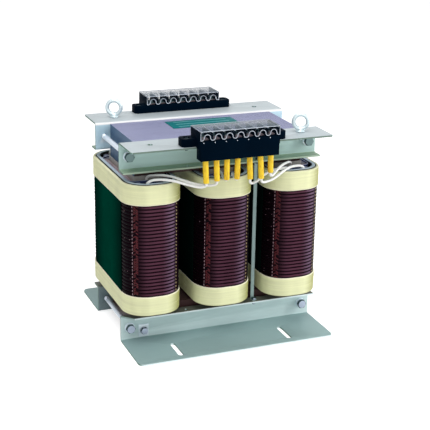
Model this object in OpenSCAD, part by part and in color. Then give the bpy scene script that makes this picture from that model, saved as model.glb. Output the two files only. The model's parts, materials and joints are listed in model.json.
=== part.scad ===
// Open dry-type three-phase transformer.
// X runs along the core, the side with the bonding strap faces -Y and Z is up.
// The origin is the centre of the four feet, on the surface that they stand on.

/* [Core] */
// Width of each limb of the core
limb_w = 42; // [34:1:60]
// Thickness of the lamination stack, front to back
stack_d = 120; // [90:1:160]
// Height of the windows between the yokes
window_h = 210; // [190:1:260]
// Height of the top and bottom yokes
yoke_h = 51; // [49:1:70]
// Height of the core above the surface that the feet stand on
core_lift = 3; // [1:0.5:6]

/* [Coils] */
// Free gap between neighbouring coils
coil_gap = 23; // [18:1:40]
// Gap between a coil and each yoke
coil_end_gap = 3; // [2:0.5:4]
// Clearance between a limb and its former
former_clear = 0.5; // [0.3:0.1:1]
// Wall of the insulating former
former_t = 2; // [1:0.5:3]
// Corner radius of the former
former_r = 3; // [3:0.5:6]
// Build of the inner winding
inner_build = 8.8; // [6:0.2:12]
// Wall of the insulating barrier tube
barrier_t = 2; // [1:0.5:3]
// Corner radius of the barrier tube
barrier_r = 14.2; // [10:0.2:18]
// Build of the outer winding
outer_build = 9.6; // [7:0.2:13]
// Depth of the cooling duct at the front and back of each coil
duct_d = 22; // [18:1:28]
// Thickness of the cream tape bands
tape_t = 1.5; // [1:0.1:2.5]
// Clearance between neighbouring layers of a coil
layer_gap = 0.2; // [0.1:0.05:0.4]
// Outer corner radius of a finished coil
coil_r = 38; // [34:1:44]
// Height of one turn of the outer winding
turn_h = 5.5; // [4.5:0.1:8]
// Width of the groove between two turns
groove_h = 1.1; // [0.6:0.1:1.6]
// Depth of the groove between two turns
groove_d = 1.4; // [0.8:0.1:2]
// Height of each cream tape band
band_h = 29.5; // [20:0.5:40]
// Width of the part of a band that is folded over the coil's end
band_fold_w = 3; // [2:0.5:5]
// Thickness of that folded part
band_fold_t = 1; // [0.5:0.1:1.5]
// Thickness of the end collars
collar_t = 2; // [1:0.5:4]
// Thickness of the green side sheets
side_sheet_t = 0.9; // [0.5:0.1:1.2]
// Width of the duct spacers, along the coil's face
spacer_w = 8; // [5:1:10]
// Distance of the duct spacers from the middle of the coil
spacer_x = 21; // [20:0.5:23]

/* [Clamps] */
// Length of the clamps past the axes of the tie bolts
clamp_out = 14; // [10:1:60]
// Sheet thickness of the clamps
sheet_t = 2.5; // [2:0.1:4]
// Inner bend radius of the clamps
bend_r = 2; // [1:0.5:3]
// Height of the clamps
clamp_h = 44; // [38:1:48]
// Height of the top clamps above the core's top
clamp_rise = 3; // [1:0.5:6]
// Depth of the wide flange of the top clamps, from the core face
flange_d = 62; // [58:1:80]
// Depth of the feet, from the core face
foot_d = 96; // [92:1:120]
// Depth of the narrow flanges, from the core face
lip_d = 22; // [20:1:26]
// Corner radius of the wide flanges
flange_corner_r = 3; // [2:0.5:10]
// Corner radius of the feet
foot_corner_r = 9; // [3:0.5:12]
// Length of the slanted end of a bottom clamp's narrow flange
lip_bevel = 16; // [8:1:20]
// Distance of the foot slots from the middle
slot_x = 90; // [70:1:120]
// Distance from the core face to the middle of a foot slot
slot_u = 62; // [56:1:64]
// Width of the foot slots
slot_w = 8; // [6:0.5:10]
// Length of the foot slots, end to end
slot_len = 44; // [30:1:46]

/* [Tie bolts] */
// Distance of the tie bolts past the ends of the core
tie_out = 10; // [8:0.5:14]
// Diameter of the tie bolts and the lifting eyes' shanks
tie_d = 8; // [6:0.5:10]
// Clearance of a bolt in its hole, on the diameter
hole_clear = 0.6; // [0.3:0.1:1]
// Width across flats of their hex heads and nuts
tie_af = 13; // [12:0.5:17]
// Height of the tie bolt heads
tie_head_h = 5.3; // [4:0.1:7]
// Height of the nuts of the tie bolts and the lifting eyes
tie_nut_h = 6.5; // [5:0.1:8]
// Length of thread that shows past a large nut
thread_out = 3; // [1:0.5:6]
// Outer diameter of the flat washers
washer_d = 16; // [14:0.5:20]
// Thickness of the flat washers
washer_t = 1.6; // [1:0.1:2.5]
// Outer diameter of the spring washers
spring_d = 13.6; // [12:0.2:16]
// Thickness of the spring washers
spring_t = 2.1; // [1.5:0.1:3]
// Width of the cut in a spring washer
spring_cut = 1.6; // [1:0.1:2.5]

/* [Lifting eyes] */
// Distance of the lifting eyes and spare holes from the middle
eye_x = 121; // [110:1:130]
// Distance from the core face to the lifting eyes
eye_u = 28; // [22:1:36]
// Diameter of the eye's ring at the middle of its wire
eye_ring_d = 22; // [18:1:26]
// Thickness of the eye's ring
eye_wire_d = 6.2; // [4:0.2:7]
// Diameter of the eye's collar
eye_collar_d = 14; // [13:0.5:18]
// Height of the eye's collar
eye_collar_h = 2.5; // [2:0.5:4]
// Diameter of the neck between collar and ring
eye_neck_d = 8.6; // [6:0.2:11]
// Height of that neck
eye_neck_h = 2.5; // [1.5:0.5:4]
// Turn of the rings about their shanks
eye_turn = 24; // [0:1:90]

/* [Terminal blocks] */
// Number of poles on each block
poles = 7; // [3:1:7]
// Pitch of the poles
pole_pitch = 17.35; // [15:0.05:18]
// Thickness of the barriers between the poles
barrier_wall = 2; // [1.5:0.1:2.5]
// Thickness of the walls at the ends of a block
end_wall = 2.75; // [2:0.05:4]
// Depth of a block, front to back
block_d = 42; // [40:1:46]
// Depth of the part of a block that rests on the flange
block_seat = 24; // [22:1:26]
// Height of the block's platform above the flange
platform_h = 12; // [11:0.5:16]
// Thickness of the platform over the wire box
platform_t = 3; // [2:0.5:4]
// Height of the block's cover above the flange
block_h = 27; // [25:0.5:32]
// Depth of the wire box below the flange's top
box_drop = 17.3; // [12:0.1:22]
// Wall of the wire box
box_wall = 2; // [1.5:0.1:3]
// Distance of the wire box from the flange's edge and from the ends of the block
box_gap = 0.3; // [0.1:0.1:1]
// Length of each mounting ear
ear_len = 20; // [16:1:24]
// Depth of each mounting ear
ear_d = 22; // [18:1:24]
// Corner cut of each mounting ear
ear_cut = 4; // [2:0.5:6]
// Thickness of an ear under its screw head
ear_seat_t = 8; // [4:0.5:9]
// Wall of the clear cover
cover_t = 1.5; // [1:0.1:2]
// Height of the cover's plain rear skirt
cover_skirt_h = 8; // [4:0.5:11]
// Gap between the tongues of the cover and the platform
tongue_gap = 0.8; // [0.3:0.1:2]
// Diameter of the terminal screws
term_screw_d = 5; // [4:0.5:6]
// Diameter of the terminal screws' round heads
term_head_d = 9; // [8:0.5:10]
// Distance of the terminal screws from the block's inner edge
term_screw_y = 15; // [13:0.5:17]
// Width of a terminal bar
bar_w = 11; // [9:0.5:12]
// Thickness of a terminal bar
bar_t = 1.2; // [0.8:0.1:1.6]
// Width of the tail of a terminal bar
tail_w = 3.2; // [2.5:0.1:3.4]
// Diameter of the block's mounting screws
block_screw_d = 4; // [3:0.5:5]

/* [Sleeves and leads] */
// Diameter of the white leads
lead_d = 4; // [3:0.1:4.4]
// Clearance of a lead in its sleeve, on the diameter
sleeve_clear = 1.6; // [1.2:0.1:2]
// Wall of the yellow sleeves
sleeve_wall = 1.4; // [1:0.1:1.8]

/* [Small parts] */
// Length of the bare label plate
label_len = 112; // [60:1:140]
// Depth of the bare label plate
label_d = 44; // [30:1:55]
// Thickness of the bare label plate
label_t = 0.6; // [0.4:0.1:1]
// Width of the bonding strap
strap_w = 6; // [5:0.5:9]
// Thickness of the bonding strap
strap_t = 1; // [0.8:0.1:1.6]
// Radius of the strap's round lugs
lug_r = 5; // [4:0.5:6]
// Distance from the core face to the strap's screws
strap_u = 14; // [13:0.5:15]
// Diameter of the strap's screws
strap_screw_d = 4; // [3:0.5:4]
// Diameter of the earth bolt
earth_d = 6; // [5:0.5:8]
// Width of the earth plate
earth_w = 16; // [14:1:20]
// Height of the earth plate
earth_h = 20; // [18:1:24]
// Thickness of the earth plate
earth_t = 1.5; // [1:0.1:2]

/* [Hidden] */
$fn = 48;

// Overlap inside one solid and past the faces of a cut
touch = 0.01;
core_face = stack_d / 2;

// Half sizes and corner radii of the layers of a coil, from the limb outwards
former_x = limb_w / 2 + former_clear + former_t;
former_y = core_face + former_clear + former_t;
inner_x = former_x + layer_gap + inner_build;
inner_y = former_y + layer_gap + inner_build;
tube_x = inner_x + layer_gap + barrier_t;
tube_y = inner_y + layer_gap + barrier_t;
inner_r = barrier_r - barrier_t - layer_gap;
coil_x = tube_x + layer_gap + outer_build + tape_t;
coil_y = tube_y + layer_gap + duct_d + outer_build + tape_t;
winding_in = tape_t + outer_build;

// Plan and heights
pitch = 2 * coil_x + coil_gap;
core_len = 2 * pitch + limb_w;
window_z = core_lift + yoke_h;
core_top = window_z + window_h + yoke_h;
clamp_top = core_top + clamp_rise;
coil_z = window_z + coil_end_gap;
coil_top = window_z + window_h - coil_end_gap - band_fold_t;
winding_h = coil_top - coil_z - 2 * collar_t;
turns = floor(winding_h / turn_h);
turns_z = (coil_z + coil_top - turns * turn_h) / 2;

// Clamps and what is bolted to them
web_face = core_face + sheet_t;
outer_r = bend_r + sheet_t;
tie_x = core_len / 2 + tie_out;
clamp_len = 2 * (tie_x + clamp_out);
tie_z_low = clamp_h / 2;
tie_z_high = clamp_top - clamp_h / 2;
lip_z = clamp_top - clamp_h;
earth_x = tie_x - washer_d / 2 - earth_w / 2 - 6.5;
earth_z = outer_r + earth_h / 2;
earth_af = 10;
earth_head_h = 4;
earth_washer_t = 1.2;
small_nut_h = 3.2;
small_head_h = 2.8;
small_thread_out = 1.5;

// Across flats of a small hex head or nut for its thread
function small_af(d) = 1.75 * d;

// Terminal blocks: the middle of a block is its own x = 0 and its inner edge is y = 0
block_y = core_face + flange_d - block_seat;
poles_w = poles * pole_pitch;
block_w = poles_w - barrier_wall + 2 * end_wall;
ear_x = block_w / 2 + ear_len / 2;
ear_y = ear_d / 2;
box_y = block_seat + box_gap;
box_w = block_w - 6 * box_gap;
chamber_w = pole_pitch - barrier_wall;
chamber_y = box_y + box_wall;
chamber_end = block_d - box_wall;
tail_y = (chamber_y + chamber_end) / 2;
tail_z = -10;
sleeve_top_z = -4;
screw_hole_z = 2;
bar_y = term_screw_y - term_head_d / 2 - 4;

function pole_x(i) = (i - (poles - 1) / 2) * pole_pitch;

// Ends of the sleeves of the front block, with heights from the coils' top
sleeve_ends = [[-47.5, -126, 4], [-30.5, -126, 6], [-14.5, -124, 6], [2, -124, 5.5],
    [22.5, -126, 4], [40.5, -126, 3], [55, -126, 11]];

// Leads from those sleeves to the windings, with heights from the coils' top
lead_routes = [
    [[-48, -125, -1], [-54, -121, -3.5], [-64, -117, -2], [-78, -112, 2], [-90, -107, 5.5],
        [-103, -101, 7], [-116, -97, 7], [-124, -95, 4.5], [-127.5, -93, 0],
        [-128.5, -92.6, -5], [-128.5, -92.6, -10]],
    [[-31, -124.5, 0.5], [-37, -120, -2.5], [-48, -115, -2.5], [-62, -109, 0],
        [-76, -100, 4], [-88, -89, 7], [-101, -81, 8], [-111, -75, 7], [-117, -70, 5],
        [-119, -67.2, 1.5], [-119, -67, -1.6]],
    [[-14.6, -120.5, 4], [-14, -113, 4], [-12.5, -104, 5.2], [-11, -95, 6.3],
        [-10.3, -86, 7], [-10, -77, 6.7], [-10, -70.5, 4.6], [-10, -67.3, 1.5],
        [-10, -67, -1.6]],
    [[2.2, -120.5, 3.8], [3, -113, 4.4], [4.5, -104, 6.2], [5.8, -97.5, 5.6],
        [6.5, -94.2, 2], [6.7, -93.4, -4], [6.7, -93.4, -10]],
    [[23, -124.5, -1.5], [28, -120, -5.5], [38, -113, -6], [48, -107, -3], [58, -102, 1],
        [70, -99, 4.5], [82, -97.5, 5.2], [92, -96.2, 5.4], [98, -94.3, 4.2],
        [101.2, -92.7, 0.2], [101.8, -92.6, -5], [101.8, -92.6, -10]],
    [[42, -124.5, -2.5], [47, -121, -5.5], [57, -116, -6], [68, -112, -4], [80, -108, 1],
        [92, -103, 5.5], [104, -98.5, 7.3], [116, -96.5, 7], [123.5, -95, 4.5],
        [126.7, -93.4, 0], [127.3, -93, -5], [127.3, -93, -10]],
    [[56, -124.5, 6], [61, -120, 3.5], [69, -113, 5.5], [77, -106, 8.5], [86, -99, 10.8],
        [95, -92, 11.2], [103, -84.5, 10.3], [110, -77.5, 8], [114.5, -71.5, 5.3],
        [116, -67.6, 1.8], [116, -67, -1.6]]];

// Rounded rectangle from its half sizes and corner radius
module round_rect(x, y, r) {
    square([2 * x, 2 * (y - r)], center = true);
    square([2 * (x - r), 2 * y], center = true);
    for (sx = [-1, 1], sy = [-1, 1]) translate([sx * (x - r), sy * (y - r)]) circle(r = r);
}

// Upright tube between an outline and the same outline set in by t
module ring_wall(x, y, r, t, h) {
    linear_extrude(h) difference() {
        round_rect(x, y, r);
        round_rect(x - t, y - t, r - t);
    }
}

// Round bar with a round hole
module ring(od, bore, h) {
    difference() {
        cylinder(d = od, h = h);
        translate([0, 0, -touch]) cylinder(d = bore, h = h + 2 * touch);
    }
}

module hex(af, h) {
    cylinder(d = af / cos(30), h = h, $fn = 6);
}

module nut(af, bore, h) {
    difference() {
        hex(af, h);
        translate([0, 0, -touch]) cylinder(d = bore, h = h + 2 * touch);
    }
}

// Crossed slots in the top of a screw head at z
module cross_slots(d, w, z, turn) {
    for (a = [turn, turn + 90]) translate([0, 0, z]) rotate([0, 0, a])
        translate([-d / 2, -w / 2, -1.4]) cube([d, w, 1.4 + touch]);
}

// Lay a shape that stands on +Z along -Y
module along_front() {
    rotate([90, 0, 0]) children();
}

// Turn a rear piece to the front
module to_front() {
    rotate([0, 0, 180]) children();
}

module front_and_rear() {
    children();
    to_front() children();
}

module limb(x) {
    color("slategray") translate([x - limb_w / 2, -core_face, window_z])
        cube([limb_w, stack_d, window_h]);
}

module yoke(z) {
    color("#9898bd") translate([-core_len / 2, -core_face, z]) cube([core_len, stack_d, yoke_h]);
}

module coil_former(x) {
    color("tan") translate([x, 0, window_z])
        ring_wall(former_x, former_y, former_r, former_t, window_h);
}

module inner_winding(x) {
    color("peru") translate([x, 0, coil_z + collar_t]) linear_extrude(winding_h) difference() {
        round_rect(inner_x, inner_y, inner_r);
        round_rect(former_x + layer_gap, former_y + layer_gap, former_r + layer_gap);
    }
}

module barrier_tube(x) {
    color("lightsteelblue") translate([x, 0, coil_z])
        ring_wall(tube_x, tube_y, barrier_r, barrier_t, coil_top - coil_z);
}

// Outline of a finished coil, set in by a distance
module coil_outline(inset) {
    round_rect(coil_x - inset, coil_y - inset, coil_r - inset);
}

// The outer winding's turns, with a groove between neighbours
module outer_winding(x) {
    color("#4a2f3a") translate([x, 0, 0]) difference() {
        translate([0, 0, coil_z + collar_t]) linear_extrude(winding_h) coil_outline(tape_t);
        translate([0, 0, coil_z]) linear_extrude(coil_top - coil_z) coil_outline(winding_in);
        for (i = [1 : turns - 1]) translate([0, 0, turns_z + i * turn_h - groove_h / 2])
            linear_extrude(groove_h) difference() {
                coil_outline(0);
                coil_outline(tape_t + groove_d);
            }
    }
}

// Tape band whose upper edge at z = 0 is folded inwards over the coil's end
module band() {
    color("#e1e1aa") {
        translate([0, 0, -band_h]) linear_extrude(band_h + band_fold_t) difference() {
            coil_outline(0);
            coil_outline(tape_t);
        }
        linear_extrude(band_fold_t) difference() {
            coil_outline(touch);
            coil_outline(tape_t + band_fold_w);
        }
    }
}

module upper_band(x) {
    translate([x, 0, coil_top]) band();
}

module lower_band(x) {
    translate([x, 0, coil_z]) mirror([0, 0, 1]) band();
}

// Green sheets on the two flanks, between the bands
module side_sheets(x) {
    low = coil_z + band_h + layer_gap;
    high = coil_top - band_h - layer_gap;
    half_d = coil_y - coil_r;
    color("#00382c") for (side = [0, 1]) translate([x, 0, low]) rotate([0, 0, 180 * side])
        translate([coil_x - tape_t + layer_gap, -half_d, 0])
            cube([side_sheet_t, 2 * half_d, high - low]);
}

// Rings that close the winding's two ends, inside the bands
module end_collars() {
    color("#c4d2dc") for (i = [-1 : 1], z = [coil_z, coil_top - collar_t])
        translate([i * pitch, 0, z]) ring_wall(coil_x - tape_t, coil_y - tape_t, coil_r - tape_t,
            outer_build, collar_t);
}

// Sticks between barrier tube and outer winding, cut to the winding's rounded inside
module duct_spacers() {
    hole_r = coil_r - winding_in;
    past_flat = spacer_x + spacer_w / 2 - (coil_x - coil_r);
    near = tube_y + layer_gap;
    far = coil_y - coil_r + sqrt(hole_r * hole_r - past_flat * past_flat) - layer_gap;
    color("#2b3f66") for (i = [-1 : 1], sx = [-1, 1]) translate([i * pitch, 0, 0])
        front_and_rear() translate([sx * spacer_x - spacer_w / 2, near, coil_z])
            cube([spacer_w, far - near, coil_top - coil_z - collar_t]);
}

// Quarter of a bend at the foot or the head of a clamp's web
module bend_2d(up) {
    intersection() {
        difference() {
            circle(r = outer_r);
            circle(r = bend_r);
        }
        translate([-outer_r, up ? 0 : -outer_r]) square(outer_r);
    }
}

// Section of a clamp: web on the core and two flanges that reach outwards
module clamp_2d(low_d, high_d) {
    translate([0, outer_r]) square([sheet_t, clamp_h - 2 * outer_r]);
    translate([outer_r, 0]) square([low_d - outer_r, sheet_t]);
    translate([outer_r, clamp_h - sheet_t]) square([high_d - outer_r, sheet_t]);
    translate([outer_r, outer_r]) bend_2d(false);
    translate([outer_r, clamp_h - outer_r]) bend_2d(true);
}

// A rear clamp with its lower edge at z = 0 and its web on the core's rear face
module clamp_blank(low_d, high_d) {
    translate([-clamp_len / 2, core_face, 0]) rotate([90, 0, 90]) linear_extrude(clamp_len)
        clamp_2d(low_d, high_d);
}

// What rounding takes off the two outer corners of a flange with its underside at z
module corner_waste(d, r, z) {
    translate([0, 0, z - touch]) linear_extrude(sheet_t + 2 * touch) for (sx = [-1, 1])
        translate([sx * (clamp_len / 2 - r), core_face + d - r]) difference() {
            translate([sx > 0 ? 0 : -r - touch, 0]) square(r + touch);
            circle(r = r);
        }
}

// Tie bolt holes in the web
module web_holes() {
    for (sx = [-1, 1]) translate([sx * tie_x, web_face + touch, clamp_h / 2]) along_front()
        cylinder(d = tie_d + hole_clear, h = sheet_t + 2 * touch);
}

// Clearance holes for a thread, at x and -x in a flange with its underside at z
module flange_holes(x, u, d, z) {
    for (sx = [-1, 1]) translate([sx * x, core_face + u, z - touch])
        cylinder(d = d + hole_clear, h = sheet_t + 2 * touch);
}

module top_clamp() {
    color("#cdd6d8") translate([0, 0, lip_z]) difference() {
        clamp_blank(lip_d, flange_d);
        corner_waste(flange_d, flange_corner_r, clamp_h - sheet_t);
        web_holes();
        flange_holes(eye_x, eye_u, tie_d, clamp_h - sheet_t);
        flange_holes(ear_x, block_y + ear_y - core_face, block_screw_d, clamp_h - sheet_t);
        flange_holes(pitch / 2, strap_u, strap_screw_d, 0);
    }
}

module foot_slot(x) {
    half = (slot_len - slot_w) / 2;
    cut = sheet_t + 2 * touch;
    translate([x, core_face + slot_u, -touch]) {
        for (sy = [-1, 1]) translate([0, sy * half, 0]) cylinder(d = slot_w, h = cut);
        translate([-slot_w / 2, -half, 0]) cube([slot_w, 2 * half, cut]);
    }
}

// What the slanted end takes off the narrow flange of a bottom clamp
module lip_waste() {
    translate([clamp_len / 2, core_face, clamp_h - sheet_t - touch])
        linear_extrude(sheet_t + 2 * touch) polygon([[touch, outer_r], [touch, lip_d + touch],
            [-lip_bevel, lip_d + touch]]);
}

module bottom_clamp() {
    color("#8aa39e") difference() {
        clamp_blank(foot_d, lip_d);
        corner_waste(foot_d, foot_corner_r, 0);
        web_holes();
        foot_slot(slot_x);
        foot_slot(-slot_x);
        flange_holes(pitch / 2, strap_u, strap_screw_d, clamp_h - sheet_t);
        lip_waste();
        translate([earth_x, web_face + touch, earth_z]) along_front()
            cylinder(d = earth_d, h = sheet_t + 2 * touch);
    }
}

// Place a shape at the front end of each tie bolt's axis, at y = 0
module at_ties() {
    for (x = [-tie_x, tie_x], z = [tie_z_low, tie_z_high]) translate([x, 0, z]) children();
}

module tie_bolts() {
    front = -web_face - washer_t - spring_t;
    back = web_face + washer_t + tie_nut_h + thread_out;
    color("#dfe8f0") at_ties() {
        translate([0, front, 0]) along_front() hex(tie_af, tie_head_h);
        translate([0, back, 0]) along_front() cylinder(d = tie_d, h = back - front + touch);
    }
}

module flat_washers() {
    color("#dfe8f0") at_ties() for (y = [-web_face, web_face + washer_t])
        translate([0, y, 0]) along_front() ring(washer_d, tie_d + hole_clear, washer_t);
}

module spring_washers() {
    color("#c8d2dc") at_ties() translate([0, -web_face - washer_t, 0]) along_front() difference() {
        ring(spring_d, tie_d + hole_clear, spring_t);
        translate([-spring_cut / 2, 0, -touch]) cube([spring_cut, spring_d, spring_t + 2 * touch]);
    }
}

module tie_nuts() {
    color("#dfe8f0") at_ties() translate([0, web_face + washer_t + tie_nut_h, 0]) along_front()
        nut(tie_af, tie_d, tie_nut_h);
}

// Rear lifting eye: shank through the flange, collar, neck and ring
module lifting_eye() {
    below = sheet_t + tie_nut_h + thread_out;
    ring_z = eye_collar_h + eye_neck_h + eye_ring_d / 2;
    color("#d5dee0") translate([-eye_x, core_face + eye_u, clamp_top]) {
        translate([0, 0, -below]) cylinder(d = tie_d, h = below + touch);
        cylinder(d = eye_collar_d, h = eye_collar_h);
        cylinder(d = eye_neck_d, h = eye_collar_h + eye_neck_h);
        translate([0, 0, ring_z]) rotate([90, 0, -eye_turn]) rotate_extrude()
            translate([eye_ring_d / 2, 0]) circle(d = eye_wire_d);
    }
}

module lifting_eye_nuts() {
    color("#dfe8f0") front_and_rear()
        translate([-eye_x, core_face + eye_u, clamp_top - sheet_t - tie_nut_h])
            nut(tie_af, tie_d, tie_nut_h);
}

// Move a shape from the rear block's own frame to its seat on the flange
module at_block() {
    translate([0, block_y, clamp_top]) children();
}

module at_poles() {
    at_block() for (i = [0 : poles - 1]) translate([pole_x(i), 0, 0]) children();
}

// Both ears of the block's outline, each with two cut corners
module ears() {
    start = block_w / 2 - touch;
    end = block_w / 2 + ear_len;
    for (side = [0, 1]) mirror([side, 0, 0]) linear_extrude(platform_h)
        polygon([[start, 0], [end - ear_cut, 0], [end, ear_cut], [end, ear_d - ear_cut],
            [end - ear_cut, ear_d], [start, ear_d]]);
}

// Upright walls between the poles and at the block's ends, clear of the cover's skirts
module block_walls() {
    skirt = cover_t + layer_gap;
    wall_d = block_d - 2 * skirt;
    for (i = [1 : poles - 1]) translate([pole_x(i) - (pole_pitch + barrier_wall) / 2, skirt, 0])
        cube([barrier_wall, wall_d, block_h - cover_t - 2.5]);
    for (x = [-block_w / 2, block_w / 2 - end_wall]) translate([x, skirt, 0])
        cube([end_wall, wall_d, block_h - cover_t]);
}

// Wire chamber, slot for the bar's tail and screw hole of one pole
module pole_cuts() {
    slot_t = bar_t + 2 * layer_gap;
    translate([-chamber_w / 2, chamber_y, -box_drop - touch])
        cube([chamber_w, chamber_end - chamber_y, box_drop + platform_h - platform_t + touch]);
    translate([-bar_w / 2 - layer_gap, tail_y - slot_t / 2, 0])
        cube([bar_w + 2 * layer_gap, slot_t, platform_h + touch]);
    translate([0, term_screw_y, screw_hole_z]) cylinder(d = term_screw_d, h = platform_h);
}

module terminal_base() {
    color("#0a0f1c") {
        difference() {
            at_block() {
                translate([-block_w / 2, 0, 0]) cube([block_w, block_d, platform_h]);
                translate([-box_w / 2, box_y, -box_drop])
                    cube([box_w, block_d - box_y, box_drop + touch]);
                block_walls();
                ears();
            }
            at_poles() pole_cuts();
            at_block() for (side = [-1, 1]) translate([side * ear_x, ear_y, 0]) {
                translate([0, 0, -touch]) cylinder(d = block_screw_d + hole_clear, h = platform_h);
                translate([0, 0, ear_seat_t])
                    cylinder(d = 2 * block_screw_d + 2 * hole_clear, h = platform_h);
            }
        }
    }
}

// The cover's outer skirt: tongues over the barriers and arches over the poles
module skirt_2d() {
    wave_r = pole_pitch / 4;
    wave_z = platform_h + tongue_gap + wave_r;
    intersection() {
        translate([-block_w / 2, 0]) square([block_w, block_h]);
        union() {
            difference() {
                translate([-block_w / 2, wave_z]) square([block_w, block_h - wave_z]);
                for (i = [0 : poles - 1]) translate([pole_x(i), wave_z]) circle(r = wave_r);
            }
            for (i = [0 : poles]) translate([pole_x(i) - pole_pitch / 2, wave_z])
                circle(r = wave_r - touch);
        }
    }
}

module terminal_cover() {
    color([0.85, 0.9, 0.95, 0.45]) at_block() {
        translate([-block_w / 2, 0, block_h - cover_t]) cube([block_w, block_d, cover_t]);
        translate([0, block_d, 0]) along_front() linear_extrude(cover_t) skirt_2d();
        translate([-block_w / 2, 0, block_h - cover_skirt_h])
            cube([block_w, cover_t, cover_skirt_h - touch]);
    }
}

// Bars with a screw hole and a bent tail that reaches down into the wire box
module terminal_bars() {
    chamber_top = platform_h - platform_t;
    color("#cfc9b8") at_poles() difference() {
        union() {
            translate([-bar_w / 2, bar_y, platform_h])
                cube([bar_w, tail_y + bar_t / 2 - bar_y, bar_t]);
            translate([-bar_w / 2, tail_y - bar_t / 2, chamber_top])
                cube([bar_w, bar_t, platform_t + touch]);
            translate([-tail_w / 2, tail_y - bar_t / 2, tail_z])
                cube([tail_w, bar_t, chamber_top - tail_z + touch]);
        }
        translate([0, term_screw_y, platform_h - touch])
            cylinder(d = term_screw_d, h = bar_t + 2 * touch);
    }
}

// Screws with a square clamping washer held under the round head
module terminal_screws() {
    clamp_w = 9.6;
    clamp_t = 1;
    head_top = clamp_t + 3.4;
    shank = platform_h - screw_hole_z - 1;
    color("#d9d3c6") at_poles() translate([0, term_screw_y, platform_h + bar_t]) difference() {
        union() {
            translate([0, 0, -bar_t - shank])
                cylinder(d = term_screw_d, h = bar_t + shank + touch);
            translate([-clamp_w / 2, -clamp_w / 2, 0]) cube([clamp_w, clamp_w, clamp_t]);
            cylinder(d = term_head_d, h = head_top);
        }
        cross_slots(6, 1.2, head_top, 20);
    }
}

module at_ears() {
    front_and_rear() at_block() for (side = [-1, 1]) translate([side * ear_x, ear_y, 0])
        children();
}

module block_screws() {
    below = sheet_t + small_nut_h + small_thread_out;
    color("#dfe8f0") at_ears() difference() {
        union() {
            translate([0, 0, -below]) cylinder(d = block_screw_d, h = below + ear_seat_t + touch);
            translate([0, 0, ear_seat_t]) cylinder(d = 2 * block_screw_d, h = small_head_h);
        }
        cross_slots(5, 1, ear_seat_t + small_head_h, 35);
    }
}

module block_nuts() {
    color("#dfe8f0") at_ears() translate([0, 0, -sheet_t - small_nut_h])
        nut(small_af(block_screw_d), block_screw_d, small_nut_h);
}

module label_plate() {
    color("#008273") translate([-label_len / 2 + 4, 0, core_top])
        cube([label_len, label_d, label_t]);
}

// Flat strap with a round lug at each end, between the narrow flanges of the front clamps
module bonding_strap() {
    run_y = -core_face - strap_u + lug_r + 1;
    screw_y = -core_face - strap_u;
    color("#8aa39e") translate([pitch / 2, 0, 0]) {
        translate([-strap_w / 2, run_y, clamp_h]) cube([strap_w, strap_t, lip_z - clamp_h]);
        for (z = [clamp_h, lip_z - strap_t]) difference() {
            union() {
                translate([-strap_w / 2, screw_y, z])
                    cube([strap_w, run_y - screw_y + strap_t, strap_t]);
                translate([0, screw_y, z]) cylinder(r = lug_r, h = strap_t);
            }
            translate([0, screw_y, z - touch])
                cylinder(d = strap_screw_d + hole_clear, h = strap_t + 2 * touch);
        }
    }
}

// Screw with its head on a lug at z = 0 and its shank downwards
module strap_screw() {
    grip = strap_t + sheet_t + small_nut_h + small_thread_out;
    hex(small_af(strap_screw_d), small_head_h);
    translate([0, 0, -grip]) cylinder(d = strap_screw_d, h = grip + touch);
}

module strap_screws() {
    color("#dfe8f0") translate([pitch / 2, -core_face - strap_u, 0]) {
        translate([0, 0, clamp_h + strap_t]) strap_screw();
        translate([0, 0, lip_z - strap_t]) mirror([0, 0, 1]) strap_screw();
    }
}

module strap_nuts() {
    color("#dfe8f0") for (z = [clamp_h - sheet_t - small_nut_h, lip_z + sheet_t])
        translate([pitch / 2, -core_face - strap_u, z])
            nut(small_af(strap_screw_d), strap_screw_d, small_nut_h);
}

// The earth terminal sits on the web of the front bottom clamp, beside the left tie bolt
module at_earth(y) {
    translate([-earth_x, y, earth_z]) along_front() children();
}

module earth_plate() {
    color("#b5c4c4") at_earth(-web_face) difference() {
        translate([-earth_w / 2, -earth_h / 2, 0]) cube([earth_w, earth_h, earth_t]);
        translate([0, 0, -touch]) cylinder(d = earth_d + hole_clear, h = earth_t + 2 * touch);
    }
}

// Bolt with a round washer face under its hex head, screwed into the clamp's web
module earth_bolt() {
    color("#dfe8f0") at_earth(-web_face - earth_t) {
        translate([0, 0, -earth_t - sheet_t]) cylinder(d = earth_d, h = earth_t + sheet_t + touch);
        cylinder(d = 2 * earth_d, h = earth_washer_t);
        hex(earth_af, earth_washer_t + earth_head_h);
    }
}

// Top of a sleeve of the front block, inside its wire chamber
function sleeve_start(i) = [pole_x(i), -block_y - tail_y, clamp_top + sleeve_top_z];

function sleeve_end(i) = sleeve_ends[i] + [0, 0, coil_top];

function unit(v) = v / norm(v);

module front_sleeves() {
    bore = lead_d + sleeve_clear;
    color("#f0cf3a") for (i = [0 : poles - 1]) {
        run = sleeve_end(i) - sleeve_start(i);
        translate(sleeve_start(i)) rotate([0, acos(run.z / norm(run)), atan2(run.y, run.x)])
            ring(bore + 2 * sleeve_wall, bore, norm(run));
    }
}

// Point on a smooth curve between b and c, at the share t
function spline(a, b, c, d, t) = 0.5 * (2 * b + (c - a) * t + (2 * a - 5 * b + 4 * c - d) * t * t
    + (3 * b - a - 3 * c + d) * t * t * t);

function smooth(p, steps) = concat([for (i = [0 : len(p) - 2], j = [0 : steps - 1])
    spline(p[max(i - 1, 0)], p[i], p[i + 1], p[min(i + 2, len(p) - 1)], j / steps)],
    [p[len(p) - 1]]);

function tangents(p) = [for (i = [0 : len(p) - 1])
    unit(p[min(i + 1, len(p) - 1)] - p[max(i - 1, 0)])];

// Sideways directions carried along the route without twist
function normals(t, i, n) = i == len(t) ? [] :
    let (m = unit(n - (n * t[i]) * t[i])) concat([m], normals(t, i + 1, m));

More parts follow.
